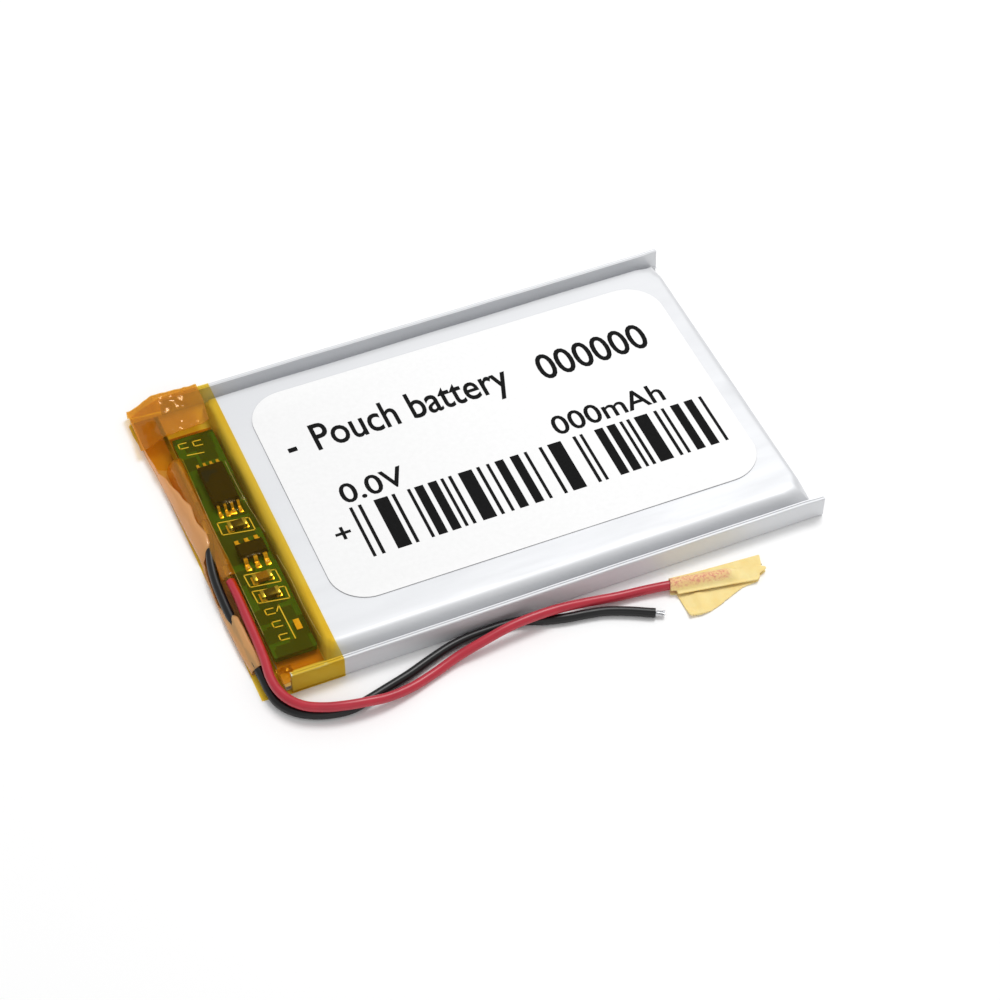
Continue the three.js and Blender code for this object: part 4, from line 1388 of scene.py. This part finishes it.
def inner_fold():
    """The film tucked down along the board's outer edge. It lifts over the leads."""
    fold = Shape()
    rows = []
    for y in spread(-4.3, 9.6, 64):
        wave = ripple(y, 1, 1.4, 3.3)
        over_leads = 1 - soft_step(-1.6, -0.3, y)
        rows.append(rounded_line([
            Vector((-22.6, y, 1.62)), Vector((-23.2, y, 1.68 + 0.05 * wave)),
            Vector((-23.62 + 0.06 * ripple(y, 1, 0.9, 7.0), y, 1.36)),
            Vector((-23.78 + 0.06 * wave + 0.12 * over_leads, y, 0.95 + 0.3 * over_leads)),
            Vector((-23.95 + 0.28 * over_leads, y, 0.3 + 0.8 * over_leads)),
        ], [0.15, 0.2, 0.2], 4))
    fold.grid(rows)
    return fold


def front_shade_tuck():
    """The crumpled film inside the mouth at the front corner, over the terrace; partly painted
    shade, a dark doubled sheet where the mouth lies in shadow.
    """
    tuck = Shape()
    rows = []
    for x in spread(-22.85, -21.5, 20):
        row = []
        for y in spread(-14.2, -16.25, 28):
            climb = 0.55 * soft_step(-14.5, -16.2, y)
            row.append(Vector((x, y, 0.62 + climb + 0.14 * ripple(x, y, 0.5, 2.0))))
        rows.append(row)
    tuck.grid(rows)
    return tuck


def back_corner(props):
    """The second layer of film, crumpled over the back corner and down its side."""
    corner = Shape()
    side_starts = 0.75      # share of the sheet that lies on top
    rows = []
    for s in spread(0, 1, 44):
        line = []
        for t in spread(0, 1, 48):
            x = -18.75 - 6.3 * s - 0.25 * (1 - soft_step(0, 0.5, t))
            y = (12.35 + 4.3 * min(1.0, t / side_starts)
                 + 0.5 * s * s * soft_step(0.4, side_starts, t))
            top = min(film_height(max(x, WRAP_MOUTH), min(y, 16.3), props), 2.28) + 0.07
            drop = 1 - soft_step(-25.1, -22.4, x)
            z = top + (0.86 - top) * drop
            if t > side_starts:
                z = z * (1 - 0.92 * (t - side_starts) / (1 - side_starts))
                y = 16.68 + 0.5 * s * s
            ridge = abs(ripple(x + 0.6 * y, y - 0.5 * x, 1.1, 12.0))
            crease = abs(ripple(x - 0.5 * y, y, 0.8, 30.0))
            strength = soft_step(0.0, 0.15, s) * (1 - soft_step(0.8, 1.0, t))
            z += (0.17 * (0.3 - ridge) + 0.1 * (0.25 - crease)) * (0.35 + 0.65 * strength)
            line.append(Vector((x, y, max(z, 0.08))))
        rows.append(line)
    corner.grid(rows)
    return corner


class POUCH_OT_head_tape(bpy.types.Operator):
    """Build the polyimide film round the head, its open mouth and the crumpled back corner"""

    bl_idname = "pouch_pack.head_tape"
    bl_label = "Head tape"

    def execute(self, context):
        tape = settings("tape")
        film = mm(tape.film)
        props = supports()
        along = spread(mm(tape.end), WRAP_SHOULDER, 3)[:-1] + spread(WRAP_SHOULDER, WRAP_MOUTH, 34)
        rows = [wrap_section(x, props, 0) for x in along]
        rows += [wrap_section(WRAP_MOUTH, props, share) for share in spread(0, 1, 14)[1:]]
        wrap = Shape()
        wrap.grid(rows, closed=True)
        made = wrap.piece("head_tape", [finish("film")], PACK, "polyimide", thickness=film,
                          offset=-1.0, smooth=180)
        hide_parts("head_wrap_tape")

        # Thin pale tubes along the creases: painted highlights on the film.
        creases = Shape()
        for points in TAPE_CREASES:
            route = smooth_route([(x, y, 0.0) for x, y in points])
            creases.tube([Vector((p.x, p.y, film_height(p.x, p.y, props) + 0.005))
                          for p in route], CREASE_RADIUS, 6)
        creases.piece("tape_crease_glints", [finish("crease")], PACK, "polyimide", smooth=60)

        for name, sheet, film_finish, slot in [
            ("tape_lower_flap", lower_flap(), "lower film", "polyimide"),
            ("tape_inner_fold", inner_fold(), "doubled film", "doubled_polyimide"),
            # The front tuck is partly painted shade: a dark doubled sheet in the shaded mouth.
            ("tape_front_shade_tuck", front_shade_tuck(), "doubled film", "doubled_polyimide"),
        ]:
            sheet.piece(name, [finish(film_finish)], PACK, slot, thickness=film, offset=0,
                        smooth=180)

        made = back_corner(props).piece(
            "corner_tape", [finish("doubled film")], PACK, "doubled_polyimide", thickness=film,
            offset=1.0, smooth=40)
        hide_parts("corner_tape_patch")
        return {"FINISHED"}


# ---- Tape flag ----------------------------------------------------------------------------

FLAG_FLAT = 0.32        # height of the folded paper where no wire lifts it
FLAG_TURN_LINE = 0.55   # where the paper starts to turn over, across the wire


def flag_left(y):
    """Where the flag begins along the wire, at a distance across it."""
    return 0.54 + (-0.6 - y) * 0.18 if y < -0.6 else 0.05 + 0.24 * (y + 0.6) / 1.44


# The torn far edge: distance across the wire, and how far along it the paper reaches.
FLAG_RIGHT = [
    (-3.27, 1.95), (-3.0, 2.94), (-1.15, 6.2), (-0.9, 7.54), (-0.34, 7.8), (0.0, 8.38),
    (0.5, 8.12), (0.9, 8.34), (1.3, 8.1), (1.7, 8.3),
]


def flag_back(u):
    """The folded back edge, which runs slightly askew to the wire."""
    return 0.84 + 0.107 * (u - 0.29)


def linear_table(table, key):
    """A value on the straight lines between the rows of a table."""
    for a, b in zip(table, table[1:]):
        if key <= b[0]:
            t = max(0.0, (key - a[0]) / (b[0] - a[0]))
            return a[1] + (b[1] - a[1]) * t
    return table[-1][1]


class POUCH_OT_flag(bpy.types.Operator):
    """Build the masking tape flag folded over the end of the red lead"""

    bl_idname = "pouch_pack.tape_flag"
    bl_label = "Tape flag"

    def execute(self, context):
        size = settings("flag")
        paper, level, wire_end = mm(size.paper), mm(size.wire_level), mm(size.wire_end)
        creping = mm(size.creping)
        resting = paper / 2 + 0.01      # height of the lower layer's middle over the table
        crown = level + mm(settings("leads").diameter) / 2 + 0.08
        shape = Shape()
        masks = []

        def upper_height(u, y):
            over = 1 - soft_step(wire_end - 0.1, wire_end + 1.0, u)
            lump = math.exp(-(abs(y) / 0.58) ** 2.6)
            return FLAG_FLAT + (crown - FLAG_FLAT) * lump * over + 0.1 * (1 - over) * lump

        def place(u, y, z):
            crimp = creping * (ripple(u * 3.2, y, 0.9, 4.0) + 0.6 * ripple(u * 6, y, 0.8, 1.0))
            return flag_point(u, y, max(z + crimp, paper / 2 + 0.005))

        rows, across = [], 84
        # From the lower layer's front edge, round the fold, to the upper layer's front edge.
        stages = [(y, "low") for y in spread(-3.25, FLAG_TURN_LINE, 30)]
        stages += [(t, "fold") for t in spread(0, 1, 12)]
        stages += [(y, "high") for y in spread(FLAG_TURN_LINE, -0.95, 34)]
        for value, kind in stages:
            line = []
            level_y = value if kind != "fold" else 0.9
            left = flag_left(level_y)
            right = linear_table(FLAG_RIGHT, level_y if kind != "fold" else 0.6 + value * 0.6)
            if kind == "high" and level_y < -0.55:
                right = min(right, 7.7)
            torn = (0.13 * ripple(level_y * 3, 2, 0.7, 5.0)
                    + 0.06 * ripple(level_y * 9, 1, 0.8, 2.0))
            for k in range(across + 1):
                u = left + (right + torn - left) * k / across
                y, mask = level_y, 0.0
                if kind == "low":
                    lift = 0.3 * (1 - soft_step(-3.4, -2.2, y)) * (1 - soft_step(0.8, 2.2, u))
                    z = resting + lift + 0.05 * soft_step(1, 4, u) * (
                        0.5 + 0.5 * ripple(u, y, 2.0, 3.0)) * (1 - soft_step(-1.2, 0, y))
                    if y < -0.95:
                        z += 0.12 * math.exp(-((u - 2.2) / 0.5) ** 2)
                elif kind == "fold":
                    reach = max(flag_back(u) - FLAG_TURN_LINE, 0.12)
                    y = FLAG_TURN_LINE + reach * (1 - abs(2 * value - 1))
                    z = resting + (upper_height(u, y) - resting) * soft_step(0.38, 0.62, value)
                else:
                    z = upper_height(u, y)
                    z += 0.06 * (1 - soft_step(-0.95, -0.6, y)) + 0.12 * soft_step(6.8, 8.3, u) * (
                        0.4 + ripple(u, y, 1.2, 8.0))
                    mask = math.exp(-((y + 0.05) / 0.42) ** 4) * (1 - soft_step(
                        wire_end - 0.4, wire_end + 0.3, u))
                line.append(place(u, y, z))
                masks.append(mask)
            rows.append(line)
        shape.grid(rows)
        points = {tuple(round(c, 4) for c in p): m for p, m in zip(shape.points, masks)}
        made = shape.piece("masking_tape_flag", [finish("masking")], FLAG, "masking_tape",
                           smooth=60)
        over = made.data.attributes.new("over_wire", "FLOAT", "POINT")
        for vertex, value in zip(made.data.vertices, over.data):
            key = tuple(round(c / MM, 4) for c in vertex.co)
            value.value = points.get(key, 0.0)
        give_thickness(made, paper, 0)
        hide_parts("end_flag_tape")
        return {"FINISHED"}


# ---- Panel and run ------------------------------------------------------------------------

BUILDERS = (
    POUCH_OT_stage, POUCH_OT_flag, POUCH_OT_leads, POUCH_OT_pouch, POUCH_OT_label,
    POUCH_OT_board, POUCH_OT_head_tape,
)


class POUCH_PT_panel(bpy.types.Panel):
    """Lists a button for each builder"""

    bl_idname = "POUCH_PT_panel"
    bl_label = "Pouch pack"
    bl_space_type = "VIEW_3D"
    bl_region_type = "UI"
    bl_category = "Pouch pack"

    def draw(self, context):
        for builder in BUILDERS:
            self.layout.operator(builder.bl_idname)


GROUPS = {
    "pouch": PouchSizes, "label": LabelSizes, "tape": TapeSizes, "leads": LeadSizes,
    "flag": FlagSizes, "colours": PackColours, "stage": StageSettings,
}


def register():
    for group in GROUPS.values():
        bpy.utils.register_class(group)
    for name, group in GROUPS.items():
        setattr(bpy.types.Scene, "pouch_pack_" + name, bpy.props.PointerProperty(type=group))
    for builder in BUILDERS:
        bpy.utils.register_class(builder)
    bpy.utils.register_class(POUCH_PT_panel)


def unregister():
    bpy.utils.unregister_class(POUCH_PT_panel)
    for builder in reversed(BUILDERS):
        bpy.utils.unregister_class(builder)
    for name in GROUPS:
        delattr(bpy.types.Scene, "pouch_pack_" + name)
    for group in reversed(list(GROUPS.values())):
        bpy.utils.unregister_class(group)


def main():
    register()
    bpy.ops.pouch_pack.stage()
    bpy.ops.pouch_pack.tape_flag()
    bpy.ops.pouch_pack.leads()
    bpy.ops.pouch_pack.pouch()
    bpy.ops.pouch_pack.label()
    bpy.ops.pouch_pack.board()
    bpy.ops.pouch_pack.head_tape()


if __name__ == "__main__":
    main()
